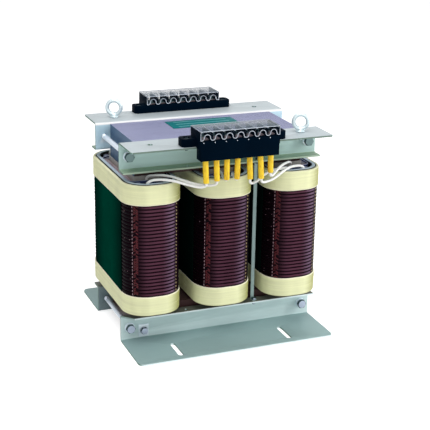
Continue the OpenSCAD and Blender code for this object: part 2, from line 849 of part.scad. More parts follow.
// Round lead swept along its route
module lead(route, r, sides) {
    p = smooth(route, 2);
    t = tangents(p);
    n = normals(t, 0, [1, 0.2, 0.1]);
    last = len(p) - 1;
    points = [for (i = [0 : last], j = [0 : sides - 1])
        p[i] + r * (cos(360 * j / sides) * n[i] + sin(360 * j / sides) * cross(t[i], n[i]))];
    walls = [for (i = [0 : last - 1], j = [0 : sides - 1])
        [i * sides + j, (i + 1) * sides + j, (i + 1) * sides + (j + 1) % sides,
            i * sides + (j + 1) % sides]];
    caps = [[for (j = [0 : sides - 1]) j], [for (j = [sides - 1 : -1 : 0]) last * sides + j]];
    polyhedron(points = points, faces = concat(walls, caps), convexity = 6);
}

// Each lead starts below its bar's tail, runs down its sleeve and goes to its coil
module front_leads() {
    under_tail = sleeve_top_z - tail_z + 0.3;
    color("white") for (i = [0 : poles - 1]) {
        start = sleeve_start(i);
        end = sleeve_end(i);
        axis = unit(end - start);
        lead(concat([start + under_tail * axis, start + 20 * axis, end - 12 * axis, end],
            [for (p = lead_routes[i]) p + [0, 0, coil_top]]), lead_d / 2, 8);
    }
}

limb(-pitch);  // core_limb_left
limb(0);  // core_limb_centre
limb(pitch);  // core_limb_right
yoke(core_top - yoke_h);  // core_top_yoke
yoke(core_lift);  // core_bottom_yoke
coil_former(-pitch);  // coil_former_left
coil_former(0);  // coil_former_centre
coil_former(pitch);  // coil_former_right
inner_winding(-pitch);  // inner_winding_left
inner_winding(0);  // inner_winding_centre
inner_winding(pitch);  // inner_winding_right
barrier_tube(-pitch);  // barrier_tube_left
barrier_tube(0);  // barrier_tube_centre
barrier_tube(pitch);  // barrier_tube_right
outer_winding(-pitch);  // outer_winding_left
outer_winding(0);  // outer_winding_centre
outer_winding(pitch);  // outer_winding_right
upper_band(-pitch);  // upper_band_left
upper_band(0);  // upper_band_centre
upper_band(pitch);  // upper_band_right
lower_band(-pitch);  // lower_band_left
lower_band(0);  // lower_band_centre
lower_band(pitch);  // lower_band_right
side_sheets(-pitch);  // side_sheets_left
side_sheets(0);  // side_sheets_centre
side_sheets(pitch);  // side_sheets_right
end_collars();
duct_spacers();
to_front() top_clamp();  // front_top_clamp
top_clamp();  // rear_top_clamp
to_front() bottom_clamp();  // front_bottom_clamp
bottom_clamp();  // rear_bottom_clamp
tie_bolts();
flat_washers();
spring_washers();
tie_nuts();
to_front() lifting_eye();  // front_lifting_eye
lifting_eye();  // rear_lifting_eye
lifting_eye_nuts();
to_front() terminal_base();  // front_terminal_base
terminal_base();  // rear_terminal_base
to_front() terminal_cover();  // front_terminal_cover
terminal_cover();  // rear_terminal_cover
to_front() terminal_bars();  // front_terminal_bars
terminal_bars();  // rear_terminal_bars
to_front() terminal_screws();  // front_terminal_screws
terminal_screws();  // rear_terminal_screws
block_screws();
block_nuts();
label_plate();
bonding_strap();
strap_screws();
strap_nuts();
earth_plate();
earth_bolt();
front_sleeves();
to_front() front_sleeves();  // rear_sleeves
front_leads();
to_front() front_leads();  // rear_leads
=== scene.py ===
"""Dresses the open dry-type three-phase transformer and sets its studio."""
import json
import math

import bmesh
import bpy
from bpy.props import FloatProperty, FloatVectorProperty, IntProperty, PointerProperty
from mathutils import Matrix, Vector, noise


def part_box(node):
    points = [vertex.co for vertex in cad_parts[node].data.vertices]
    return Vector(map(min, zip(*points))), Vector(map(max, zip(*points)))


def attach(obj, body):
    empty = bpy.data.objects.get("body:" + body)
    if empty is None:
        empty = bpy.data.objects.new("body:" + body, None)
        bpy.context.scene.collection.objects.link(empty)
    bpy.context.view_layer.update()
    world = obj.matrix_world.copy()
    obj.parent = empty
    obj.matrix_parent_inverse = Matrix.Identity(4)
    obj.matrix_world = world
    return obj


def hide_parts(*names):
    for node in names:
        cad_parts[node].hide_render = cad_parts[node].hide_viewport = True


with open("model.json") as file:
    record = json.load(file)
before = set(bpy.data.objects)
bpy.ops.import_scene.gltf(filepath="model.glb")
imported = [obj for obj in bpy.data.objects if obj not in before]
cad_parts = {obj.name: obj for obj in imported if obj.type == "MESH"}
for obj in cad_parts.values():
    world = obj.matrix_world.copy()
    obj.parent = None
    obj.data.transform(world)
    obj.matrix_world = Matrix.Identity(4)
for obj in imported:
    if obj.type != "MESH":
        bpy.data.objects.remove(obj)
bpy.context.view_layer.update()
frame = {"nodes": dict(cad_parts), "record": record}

bl_info = {
    "name": "Three-phase transformer",
    "version": (1, 0, 0),
    "blender": (4, 5, 0),
    "location": "3D View > Sidebar > Transformer",
    "description": "Dresses the frame with windings, sheet metal, fasteners and leads",
    "category": "Object",
}

MM = 0.001
COILS = ("left", "centre", "right")
SIDES = ("front", "rear")
SLOTS = {entry["node"]: entry["material_slot"] for entry in frame["record"]["subparts"]}


def length(name, description, millimetres):
    """A length in metres with a default given in millimetres."""
    return FloatProperty(name=name, description=description, default=millimetres * MM,
                         min=0.0, unit="LENGTH", precision=5)


def angle(name, description, degrees):
    """An angle with a default given in degrees."""
    return FloatProperty(name=name, description=description, default=math.radians(degrees),
                         subtype="ANGLE")


def count(name, description, default, least):
    """A whole number."""
    return IntProperty(name=name, description=description, default=default, min=least)


def colour(name, description, rgb):
    """A colour given as it is seen, in parts of 255."""
    return FloatVectorProperty(name=name, description=description, subtype="COLOR", size=3,
                               min=0.0, max=1.0, default=[to_linear(v / 255) for v in rgb])


def to_linear(value):
    return value / 12.92 if value <= 0.04045 else ((value + 0.055) / 1.055) ** 2.4


class TransformerWindingProps(bpy.types.PropertyGroup):
    """Sizes and colours of the coils."""
    coil_corner: length("Coil corner", "Outer corner radius of a finished coil", 38)
    corner_steps: count("Corner steps", "Segments round a coil's corner", 16, 4)
    tape: length("Tape", "Thickness of the tape bands", 1.5)
    build: length("Winding build", "Thickness of the outer winding", 9.6)
    turn: length("Turn height", "Height of one turn of the outer winding", 5.5)
    wire_depth: length("Wire depth", "Depth of the wire, from the outside inwards", 5.2)
    wire_round: length("Wire rounding", "Corner radius of the wire's section", 2.1)
    wire_gap: length("Wire gap", "Gap between two turns", 0.25)
    wander: length("Wander", "How far a turn strays from its place", 0.12)
    varnish: colour("Varnish", "Varnished winding wire", (84, 51, 65))
    # Painted shade: near-black varnish where the turns face sideways round both bends.
    bend_shade_varnish: colour("Varnish at the bends", "Thicker, darker varnish", (9, 4, 7))
    # Painted shade in the grooves between two turns, on the faces of a turn that point up and down.
    groove_shade_varnish: colour("Varnish in the gaps", "Dark varnish between two turns", (24, 6, 16))
    # Painted highlight: a pale lilac varnish on faces that turn towards the right bend.
    highlight_varnish: colour("Pale varnish", "Thin varnish beside a coil's right bend", (112, 88, 110))
    tape_colour: colour("Tape colour", "Cream insulating tape", (236, 238, 190))
    # Painted light: a paler cream on faces that point up, over the fold on the coil's end.
    tape_lit_colour: colour("Tape edge", "Tape folded over the coil's end", (246, 243, 205))
    tape_rim_colour: colour("Tape rim", "Pale free edge of a band", (250, 246, 216))
    # Painted shade: a darker olive cream on faces that point right, round a coil's right bend.
    tape_side_shade_colour: colour("Tape side", "Tape at a coil's right bend", (164, 164, 100))
    # Painted shade: a darker, browner cream on faces that point down, under the fold.
    tape_fold_shade_colour: colour("Tape fold", "Stained fold under the coil", (178, 168, 118))
    sheet_colour: colour("Sheet colour", "Green side sheets", (0, 62, 48))
    # Painted shade: near-black sheets in the gaps between the coils.
    sheet_gap_shade_colour: colour("Sheet gap colour", "Side sheets between the coils", (1, 18, 15))
    # Painted shade: a darker green towards the winding, near the sheet's front and rear edges.
    sheet_end_shade_colour: colour("Sheet end colour", "Side sheets near the winding", (2, 30, 25))
    collar: length("Collar", "Thickness of the end collars", 2)
    collar_groove: length("Collar groove", "Depth of the groove beside the tape's fold", 1.3)
    collar_rise: length("Collar rise", "How far the collars stand out beyond the groove", 2.0)
    collar_colour: colour("Collar colour", "End collars", (196, 211, 222))
    # Painted shade: a dark grey-green on the collars' walls and grooves below their raised tops.
    groove_shade_colour: colour("Groove colour", "Varnish in the collars' grooves", (58, 62, 60))
    barrier_colour: colour("Barrier colour", "Barrier tubes and duct sticks", (44, 56, 100))
    barrier_top_colour: colour("Barrier top colour", "Their cut ends", (186, 192, 222))
    former_colour: colour("Former colour", "Coil formers", (176, 172, 168))
    layers: count("Layers", "Layers of the inner winding", 4, 2)
    inner_build: length("Inner build", "Thickness of the inner winding", 8.2)
    inner_corner: length("Inner corner", "Outer corner radius of the inner winding", 12)
    paper: length("Paper", "Thickness of the paper between two layers", 0.6)
    copper: colour("Inner winding", "Enamelled copper of the inner winding", (170, 102, 66))
    paper_colour: colour("Layer paper", "Paper between the copper layers", (196, 200, 216))
    # Size of the pale, red and gold marks at the bends, which are painted highlights and painted
    # reflections on the turns.
    lacing: length("Lacing", "Thickness of the cords that lace the outer turns", 1.5)
    # Length of one red stroke, a painted reflection.
    stroke: length("Lacing stroke", "Length of one stroke of the red lacing", 6.0)
    # Painted highlight: pale beads in a column on the coil's left bend.
    highlight_bead_colour: colour("Pale lacing", "Pale lacing at the coil's bend", (150, 120, 128))
    # Painted reflection: red strokes beside the pale beads.
    reflection_stroke_colour: colour("Red lacing", "Red lacing beside the pale one", (80, 22, 29))
    # Painted reflection: gold dots on the coil's right bend.
    reflection_dot_colour: colour("Gold lacing", "Twisted lacing on the other bend", (172, 152, 112))


class TransformerMetalProps(bpy.types.PropertyGroup):
    """Edges and colours of the sheet metal, core and fasteners."""
    sheet: length("Clamp sheet", "Thickness of the clamps' sheet", 2.5)
    sheet_edge: length("Sheet edge", "Rounding of the clamps' edges", 0.4)
    clamp_side: colour("Clamp side", "Plated sheet of the upper clamps' webs", (170, 197, 193))
    # Painted light: paler flanges of the upper clamps, where they face the light from above.
    clamp_top_lit: colour("Clamp top", "Plated sheet of the upper clamps' flanges", (188, 198, 202))
    # Painted shade on the faces of the upper clamps' lips that point up, under the flanges.
    clamp_lip_shade: colour("Clamp lip", "Upper clamps' lips, dark with varnish", (150, 174, 150))
    clamp_lip_cut: colour("Clamp lip cut", "Cut edges of the upper lips", (158, 178, 158))
    # Painted shade: a dark line along the cut edges of the upper flanges.
    clamp_cut_shade: colour("Clamp cut", "Cut edges of the upper clamps' flanges", (104, 124, 114))
    # Painted highlight: near-white bends on the core's side of the upper clamps.
    clamp_bend_highlight: colour("Clamp bend", "Upper clamps' bends on the core's side", (226, 226, 226))
    # Painted light: a paler, bluer zinc on the upper clamps' faces towards the core.
    clamp_inner_lit: colour("Clamp inside", "Upper clamps towards the core", (182, 210, 224))
    foot_side: colour("Foot side", "Plated sheet of the lower clamps' webs", (200, 221, 221))
    # Painted shade: darker feet of the lower clamps, where the light falls off.
    foot_top_shade: colour("Foot top", "Plated sheet of the lower clamps' feet", (145, 171, 171))
    # Painted shade: dark lips of the lower clamps, in the coils' shade.
    foot_lip_shade: colour("Foot lip", "Lower clamps' lips, dark with varnish", (104, 108, 98))
    # Painted highlight: near-white cut edges of the lower clamps.
    foot_cut_highlight: colour("Foot cut", "Bright cut edges of the lower clamps", (226, 240, 242))
    # Painted shade on the lower clamps' bends on the core's side.
    foot_bend_shade: colour("Foot bend", "Lower clamps' bends on the core's side", (118, 134, 136))
    # Painted shade on the lower clamps' faces towards the core.
    foot_inner_shade: colour("Foot inside", "Lower clamps towards the core", (108, 126, 130))
    sheet_end: colour("Sheet end", "Cut ends of all four clamps", (78, 116, 102))
    lamination: length("Lamination", "Thickness of one steel sheet of the core", 0.5)
    lamination_stray: length("Stray", "How much shorter a sheet may be", 0.12)
    core_top: colour("Core top", "Lacquered sheet edges that face up", (144, 148, 182))
    # Painted shade: a darker slate on sheet edges that face sideways, away from the light.
    core_side_shade: colour("Core side", "Lacquered sheet edges that face sideways", (84, 114, 146))
    # Painted shade: a dark green on the limbs' sides above the coils.
    core_limb: colour("Core limbs", "Sides of the core's limbs above the coils", (64, 94, 88))
    # Painted shade with a reddish painted reflection: low down and on faces that point front or back,
    # deep between the coils.
    core_low_shade: colour("Core foot", "Lacquer near the foot of the core", (62, 40, 40))
    tie_across: length("Tie hexagon", "Tie bolt's hexagon across its flats", 13)
    tie_diameter: length("Tie diameter", "Diameter of the tie bolts", 8)
    tie_thread: length("Tie thread", "Length of the tie bolts' thread", 22)
    thread_pitch: length("Thread pitch", "Pitch of the tie bolts' thread", 1.25)
    spring_cut: length("Spring cut", "Gap in a spring washer", 1.6)
    small_edge: length("Small edge", "Rounding of screws, nuts, washers and sleeves", 0.3)
    head_turned: FloatProperty(name="Turned face", default=0.95, min=0.8, max=1.0,
                               description="Share of a hexagon's flats that its end face takes")
    zinc: colour("Zinc", "Faces of the upper plated fasteners", (108, 132, 132))
    zinc_low: colour("Lower zinc", "Faces of the lower plated fasteners", (184, 194, 214))
    # Painted shade: dark teal flanks of the fasteners.
    zinc_flank_shade: colour("Zinc flank", "Chromated flanks of the fasteners", (44, 70, 76))
    strap_zinc: colour("Strap zinc", "Plated bonding strap", (136, 160, 158))
    washer_zinc: colour("Washer zinc", "Bright washers and earth plate", (214, 226, 234))
    # Painted light: the tie bolts' shanks made much paler than their heads.
    rod_zinc: colour("Rod zinc", "Plated shanks of the tie bolts", (222, 232, 244))
    eye_zinc: colour("Eye zinc", "Plated lifting eyes", (204, 218, 222))


class TransformerBlockProps(bpy.types.PropertyGroup):
    """Sizes and colours of the terminal blocks, the wiring and the label."""
    poles: count("Poles", "Poles on each block", 7, 1)
    pole_pitch: length("Pole pitch", "Distance from pole to pole", 17.35)
    mould_edge: length("Moulded edge", "Rounding of the blocks' edges", 0.35)
    # The rims are white tubes along the covers' clear edges: painted highlights.
    rim: length("Rim", "Radius of the bright rims of the clear covers", 0.55)
    cover_wall: length("Cover wall", "Thickness of the covers' inner skirts", 1.3)
    wave_height: length("Wave height", "Height of the middle of the skirt's wave", 335.1375)
    rib: length("Rib", "Width of the ribs under a cover's plate", 1.5)
    pip: length("Pip", "Radius of the pale marks under the arches", 0.65)
    pip_step: length("Pip step", "From a pole to its pip, sideways", 5.5)
    pip_height: length("Pip height", "Height of the pips", 328)
    sleeve_y: length("Sleeve place", "Distance of the sleeves' tops from the middle", 131.15)
    sleeve_z: length("Sleeve top", "Height of the sleeves' tops", 314)
    lead_start: length("Lead start", "From a sleeve's top to the lead inside it", 6.3)
    lead: length("Lead", "Diameter of a lead", 4)
    coil_top: length("Coil top", "Height of the coils' top", 260)
    mould_colour: colour("Mould colour", "Black moulded bases", (1, 13, 26))
    cover_colour: colour("Cover colour", "Clear covers", (84, 100, 114))
    # Painted highlight: the white of the covers' rims; the ribs and pips share it.
    rim_colour: colour("Rim colour", "Rims and ribs of the clear covers", (218, 226, 238))
    bar_colour: colour("Bar colour", "Plated terminal bars", (112, 100, 106))
    sleeve_colour: colour("Sleeve colour", "Yellow sleeves", (243, 205, 44))
    lead_colour: colour("Lead colour", "White leads", (238, 238, 236))
    label_colour: colour("Label colour", "Bare teal label", (0, 108, 112))
    rule_colour: colour("Rule colour", "Ruled lines of the empty label", (120, 186, 190))


class TransformerStageProps(bpy.types.PropertyGroup):
    """The camera's place and lens."""
    azimuth: angle("Azimuth", "Camera's turn about the vertical", -22.238)
    elevation: angle("Elevation", "Camera's height angle", 18.687)
    roll: angle("Roll", "Camera's roll", 1.02)
    distance: length("Distance", "Camera to target", 1793.4)
    lens: FloatProperty(name="Lens", description="Focal length in millimetres", default=93.55)
    target: FloatVectorProperty(name="Target", description="Point in the picture's centre", size=3,
                                default=(0.018773, 0.0, 0.16702), unit="LENGTH")


class TransformerProps(bpy.types.PropertyGroup):
    """All settings of the transformer."""
    winding: PointerProperty(type=TransformerWindingProps)
    metal: PointerProperty(type=TransformerMetalProps)
    block: PointerProperty(type=TransformerBlockProps)
    stage: PointerProperty(type=TransformerStageProps)


def props():
    """The scene's own settings, by group."""
    return bpy.context.scene.transformer


# Node trees

def feed(tree, socket, value):
    """Link a socket from a node's first output or from another socket, or set its own value."""
    if isinstance(value, bpy.types.Node):
        value = value.outputs[0]
    if isinstance(value, bpy.types.NodeSocket):
        tree.links.new(value, socket)
    else:
        socket.default_value = (*value, 1.0) if socket.type == "RGBA" else value


def add(tree, kind, settings=None, **inputs):
    """A new node; an input's name is written with _ for each space."""
    node = tree.nodes.new(kind)
    for key, value in (settings or {}).items():
        setattr(node, key, value)
    for key, value in inputs.items():
        feed(tree, node.inputs[key.replace("_", " ").strip()], value)
    return node


def math_node(tree, operation, *values):
    node = add(tree, "ShaderNodeMath", {"operation": operation})
    for socket, value in zip(node.inputs, values):
        feed(tree, socket, value)
    return node


def spread(tree, factor, low, high):
    """Map a 0 to 1 factor to a range."""
    return add(tree, "ShaderNodeMapRange", Value=factor, To_Min=low, To_Max=high)


def within(tree, value, low, high):
    """Map a value to 0 at low and 1 at high."""
    return add(tree, "ShaderNodeMapRange", Value=value, From_Min=low, From_Max=high)


def object_place(tree):
    """A point's place on the object."""
    return add(tree, "ShaderNodeTexCoord").outputs["Object"]


def surface_normal(tree):
    return add(tree, "ShaderNodeNewGeometry").outputs["Normal"]


def part(tree, vector, axis):
    """One axis of a vector."""
    return add(tree, "ShaderNodeSeparateXYZ", Vector=vector).outputs[axis]


def facing(tree, axis, low, high, both=False):
    """How far a surface faces along an axis, from 0 to 1."""
    value = part(tree, surface_normal(tree), axis)
    if both:
        value = math_node(tree, "ABSOLUTE", value)
    return within(tree, value, low, high)


def along(tree, axis, low, high, both=False, middle=0.0):
    """How far a point lies along an axis of the object, from 0 at low to 1 at high."""
    value = part(tree, object_place(tree), axis)
    if both:
        value = math_node(tree, "ABSOLUTE", math_node(tree, "SUBTRACT", value, middle))
    return within(tree, value, low, high)


def object_noise(tree, scale, stretch=(1, 1, 1), detail=3.0):
    """Noise on object coordinates, stretched along the axes."""
    mapping = add(tree, "ShaderNodeMapping", Vector=object_place(tree), Scale=stretch)
    return add(tree, "ShaderNodeTexNoise", Vector=mapping, Scale=scale, Detail=detail)


def mix(tree, share, first, second, blend="MIX"):
    """Mix two colours; a colour is a node, a socket or three numbers."""
    node = add(tree, "ShaderNodeMix", {"data_type": "RGBA", "blend_type": blend})
    for index, value in ((0, share), (6, first), (7, second)):
        feed(tree, node.inputs[index], value)
    return node.outputs[2]


def layered(tree, base, *layers):
    """A colour with others laid over it, each by its own share."""
    for share, over in layers:
        base = mix(tree, share, base, over)
    return base


def tint(tree, factor, rgb, darker, lighter):
    """The colour made darker and lighter by a factor."""
    node = add(tree, "ShaderNodeValToRGB", Fac=factor)
    for element, share, position in zip(node.color_ramp.elements, (darker, lighter), (0.3, 0.7)):
        element.color = (*[min(1.0, c * share) for c in rgb], 1.0)
        element.position = position
    return node


def shift(tree, base, factor, darker, lighter):
    """Make a colour socket darker and lighter by a factor."""
    return mix(tree, 1.0, base, tint(tree, factor, (1.0, 1.0, 1.0), darker, lighter), "MULTIPLY")


# Materials

def new_material(name, rgb, roughness, metallic=0.0, specular=0.5):
    """A material with a Principled shader whose plain values sit on its own sockets."""
    mat = bpy.data.materials.new(name)
    mat.use_nodes = True
    shader = mat.node_tree.nodes["Principled BSDF"]
    shader.inputs["Base Color"].default_value = (*rgb, 1.0)
    shader.inputs["Roughness"].default_value = roughness
    shader.inputs["Metallic"].default_value = metallic
    shader.inputs["Specular IOR Level"].default_value = specular
    return mat, mat.node_tree, shader


def relief(tree, shader, height, depth):
    feed(tree, shader.inputs["Normal"], add(tree, "ShaderNodeBump", Height=height, Distance=depth))


def coat(tree, shader, base, grain, low, high, depth=0.02 * MM):
    """Give a shader its colour, with gloss and a fine relief that follow one grain."""
    feed(tree, shader.inputs["Base Color"], base)
    feed(tree, shader.inputs["Roughness"], spread(tree, grain, low, high))
    if depth:
        relief(tree, shader, grain, depth)


def worn_finish(name, rgb, roughness, metallic, grain, variation=0.06, specular=0.5,
                depth=0.02 * MM):
    """A finish with soft patches of colour and gloss and a fine grain."""
    mat, tree, shader = new_material(name, rgb, roughness, metallic, specular)
    base = tint(tree, object_noise(tree, 14.0), rgb, 1 - variation, 1 + variation)
    fine = object_noise(tree, grain)
    coat(tree, shader, base, fine, roughness - 0.07, roughness + 0.07, depth)
    return mat


def brushed_finish(name, rgb, roughness, metallic, stretch):
    """Metal with streaks along one direction."""
    mat, tree, shader = new_material(name, rgb, roughness, metallic)
    streaks = object_noise(tree, 60.0, stretch, 4.0)
    base = tint(tree, streaks, rgb, 0.93, 1.05)
    coat(tree, shader, base, streaks, roughness - 0.05, roughness + 0.1)
    return mat


def board_finish(name, rgb, cut, roughness, grain):
    """Pressed board with paler cut ends."""
    mat, tree, shader = new_material(name, rgb, roughness, 0.0, 0.2)
    fibres = object_noise(tree, grain, (1, 1, 0.3))
    base = shift(tree, mix(tree, facing(tree, "Z", 0.4, 0.9), rgb, cut), fibres, 0.82, 1.0)
    coat(tree, shader, base, fibres, roughness - 0.06, roughness + 0.08, 0.03 * MM)
    return mat


def fastener_finish(name, metal):
    """Plated steel with end faces paler near the feet, and flanks darkened with painted shade."""
    mat, tree, shader = new_material(name, metal.zinc, 0.34, 0.25, 0.35)
    fine = object_noise(tree, 500.0)
    feet, yoke = 0.06, 0.2
    face = mix(tree, along(tree, "Z", feet, yoke), metal.zinc_low, metal.zinc)
    # Painted shade on the flanks.
    base = mix(tree, facing(tree, "Y", 0.9, 0.97, True), metal.zinc_flank_shade, face)
    coat(tree, shader, shift(tree, base, fine, 0.9, 1.0), fine, 0.27, 0.41)
    return mat


def varnish_finish(name, winding):
    """Dark varnish over copper wire, with painted shade at the coil's bends and in the grooves between
    the turns, and a painted highlight beside the right bend.
    """
    mat, tree, shader = new_material(name, winding.varnish, 0.3, 0.0, 0.025)
    shader.inputs["Specular Tint"].default_value = (0.95, 0.78, 1.0, 1.0)
    base = layered(tree, winding.varnish,
                   # Painted highlight on faces that turn towards the right bend.
                   (facing(tree, "X", 0.02, 0.4), winding.highlight_varnish),
                   # Painted shade round both bends, where the turns face sideways.
                   (facing(tree, "X", 0.5, 0.62), winding.bend_shade_varnish),
                   (facing(tree, "X", -0.25, -0.6), winding.bend_shade_varnish),
                   # Painted shade in the grooves between the turns.
                   (facing(tree, "Z", 0.25, 0.75, True), winding.groove_shade_varnish))
    base = shift(tree, base, object_noise(tree, 40.0, (1, 1, 0.3)), 0.72, 1.0)
    coat(tree, shader, base, object_noise(tree, 220.0, (1, 1, 0.25)), 0.24, 0.42, 0.05 * MM)
    return mat


def between_bands():
    """Heights of the lower bands' top and the upper bands' foot."""
    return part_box("lower_band_centre")[1].z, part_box("upper_band_centre")[0].z


def tape_finish(name, winding):
    """Woven tape wound round the coil, with its threads, lap lines and pale free edge, painted light on
    faces that point up, and painted shade on faces that point down or to the right.
    """
    mat, tree, shader = new_material(name, winding.tape_colour, 0.6, 0.0, 0.3)
    lower, upper = between_bands()
    half = (upper - lower) / 2
    rim, fade = 0.8 * MM, 1.8 * MM
    free = along(tree, "Z", half + fade, half + rim, True, (upper + lower) / 2)
    base = layered(tree, winding.tape_colour,
                   # Painted shade on faces that point right.
                   (facing(tree, "X", 0.2, 0.75), winding.tape_side_shade_colour),
                   # Painted light on faces that point up.
                   (facing(tree, "Z", 0.25, 0.8), winding.tape_lit_colour),
                   # Painted shade on faces that point down.
                   (facing(tree, "Z", -0.2, -0.8), winding.tape_fold_shade_colour),
                   (free, winding.tape_rim_colour))
    base = shift(tree, base, object_noise(tree, 45.0, (1, 1, 0.2)), 0.9, 1.0)
    base = shift(tree, base, object_noise(tree, 9.0, (1, 1, 34)), 0.88, 1.0)
    feed(tree, shader.inputs["Base Color"], base)
    weave = add(tree, "ShaderNodeTexWave", {"bands_direction": "Z"}, Vector=object_place(tree),
                Scale=420.0, Distortion=1.5, Detail=1.0)
    relief(tree, shader, weave.outputs["Fac"], 0.05 * MM)
    return mat


def sheet_finish(name, winding):
    """Green varnished sheet, with painted shade towards the winding and between the coils."""
    mat, tree, shader = new_material(name, winding.sheet_colour, 0.5, 0.0, 0.0)
    centre, end = 0.02, 0.069
    outer, gap = 0.15, 0.1
    base = layered(tree, winding.sheet_colour,
                   # Painted shade towards the winding.
                   (along(tree, "Y", centre, end, True), winding.sheet_end_shade_colour),
                   # Painted shade on the sheets between the coils.
                   (along(tree, "X", outer, gap, True), winding.sheet_gap_shade_colour))
    base = shift(tree, base, object_noise(tree, 30.0), 0.85, 1.0)
    coat(tree, shader, base, object_noise(tree, 260.0), 0.45, 0.6)
    return mat


def collar_finish(name, winding):
    """Pressed board with painted shade in its groove."""
    mat, tree, shader = new_material(name, winding.collar_colour, 0.5, 0.0, 0.2)
    low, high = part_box("end_collars")
    top = (high.z - low.z) / 2 + winding.collar_rise
    full_shade, no_shade = 0.6 * MM, 0.15 * MM
    fibres = object_noise(tree, 260.0, (1, 1, 0.3))
    # Painted shade below the collar's raised top.
    raised = along(tree, "Z", top - full_shade, top - no_shade, True, (low.z + high.z) / 2)
    base = mix(tree, raised, winding.groove_shade_colour, winding.collar_colour)
    coat(tree, shader, shift(tree, base, fibres, 0.86, 1.0), fibres, 0.44, 0.58, 0.03 * MM)
    return mat


def clamp_finish(name, node, side, inner, up, cut):
    """Zinc-plated sheet with rolling streaks. Its inner side has one colour for the web and one for the
    bends; faces that point up and cut edges have one for the clamp's lower half and one for its upper
    half. Most of these colours are painted light and shade: paler upper flanges and inner sides, shaded
    lips, lower feet and lower inner sides, white upper bends, bright lower cut edges, and a dark line
    on the upper flanges' cut edges."""
    mat, tree, shader = new_material(name, side, 0.45, 0.15, 0.3)
    metal = props().metal
    low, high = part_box(node)
    half = (high.z - low.z) / 2
    middle = (low.z + high.z) / 2
    soft = 0.1 * MM
    streaks = object_noise(tree, 50.0, (1, 8, 8), 4.0)
    above = along(tree, "Z", middle - metal.sheet, middle + metal.sheet)
    outwards = math_node(tree, "MULTIPLY", part(tree, surface_normal(tree), "Y"),
                         part(tree, object_place(tree), "Y"))
    rim = along(tree, "Z", half - metal.sheet - soft, half - metal.sheet + soft, True, middle)
    rim = math_node(tree, "MULTIPLY", rim, facing(tree, "Y", 0.9, 0.97, True))
    # The colours laid over the web are painted light, painted shade and painted highlights.
    base = layered(tree, side,
                   (facing(tree, "Z", 0.35, 0.8), mix(tree, above, *up)),
                   (within(tree, outwards, -0.02, -0.045),
                    mix(tree, facing(tree, "Z", 0.05, 0.25), *inner)),
                   (rim, mix(tree, above, *cut)),
                   (facing(tree, "X", 0.5, 0.9, True), metal.sheet_end))
    base = shift(tree, base, object_noise(tree, 9.0, detail=4.0), 0.93, 1.0)
    coat(tree, shader, shift(tree, base, streaks, 0.95, 1.0), streaks, 0.4, 0.54)
    return mat


def lamination_finish(name, metal):
    """Lacquered edges of thin steel sheets that lie side by side along Y, with painted shade on faces
    that point sideways, on the limbs, low down, and on faces that point front or back.
    """
    mat, tree, shader = new_material(name, metal.core_top, 0.45, 0.0, 0.2)
    sheets = object_noise(tree, 30.0, (0.25, 60, 0.25), 2.0)
    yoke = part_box("core_top_yoke")[0].z
    no_shade, full_shade = 0.24, 0.06
    # Painted shade on the limbs, on faces that point sideways, low down, and on faces that point front
    # or back.
    base = layered(tree, metal.core_limb,
                   (along(tree, "Z", yoke - MM, yoke), metal.core_side_shade),
                   (facing(tree, "Z", 0.4, 0.8), metal.core_top),
                   (along(tree, "Z", no_shade, full_shade), metal.core_low_shade),
                   (facing(tree, "Y", 0.5, 0.9, True), metal.core_low_shade))
    base = shift(tree, base, object_noise(tree, 12.0), 0.92, 1.0)
    coat(tree, shader, shift(tree, base, sheets, 0.86, 1.0), sheets, 0.38, 0.55, 0.0)
    return mat


def clear_finish(name, rgb):
    """Clear moulded plastic that shows more of its gloss at a glancing angle."""
    mat, tree, shader = new_material(name, rgb, 0.08, 0.0, 0.2)
    shader.inputs["IOR"].default_value = 1.49
    gloss = math_node(tree, "MULTIPLY_ADD", add(tree, "ShaderNodeFresnel", IOR=1.45), 3.0, -0.08)
    gloss = math_node(tree, "MINIMUM", math_node(tree, "MAXIMUM", gloss, 0.02), 0.5)
    feed(tree, shader.inputs["Alpha"], gloss)
    feed(tree, shader.inputs["Roughness"], spread(tree, object_noise(tree, 30.0), 0.05, 0.14))
    return mat


def sleeve_finish(name, rgb):
    """Yellow braided sleeve with ochre mottling."""
    mat, tree, shader = new_material(name, rgb, 0.5, 0.0, 0.3)
    mottle = object_noise(tree, 230.0, (1, 1, 0.5), 4.0)
    ochre = [value * share for value, share in zip(rgb, (0.72, 0.6, 0.5))]
    base = mix(tree, within(tree, mottle, 0.48, 0.7), rgb, ochre)
    feed(tree, shader.inputs["Base Color"], base)
    relief(tree, shader, mottle, 0.12 * MM)
    return mat


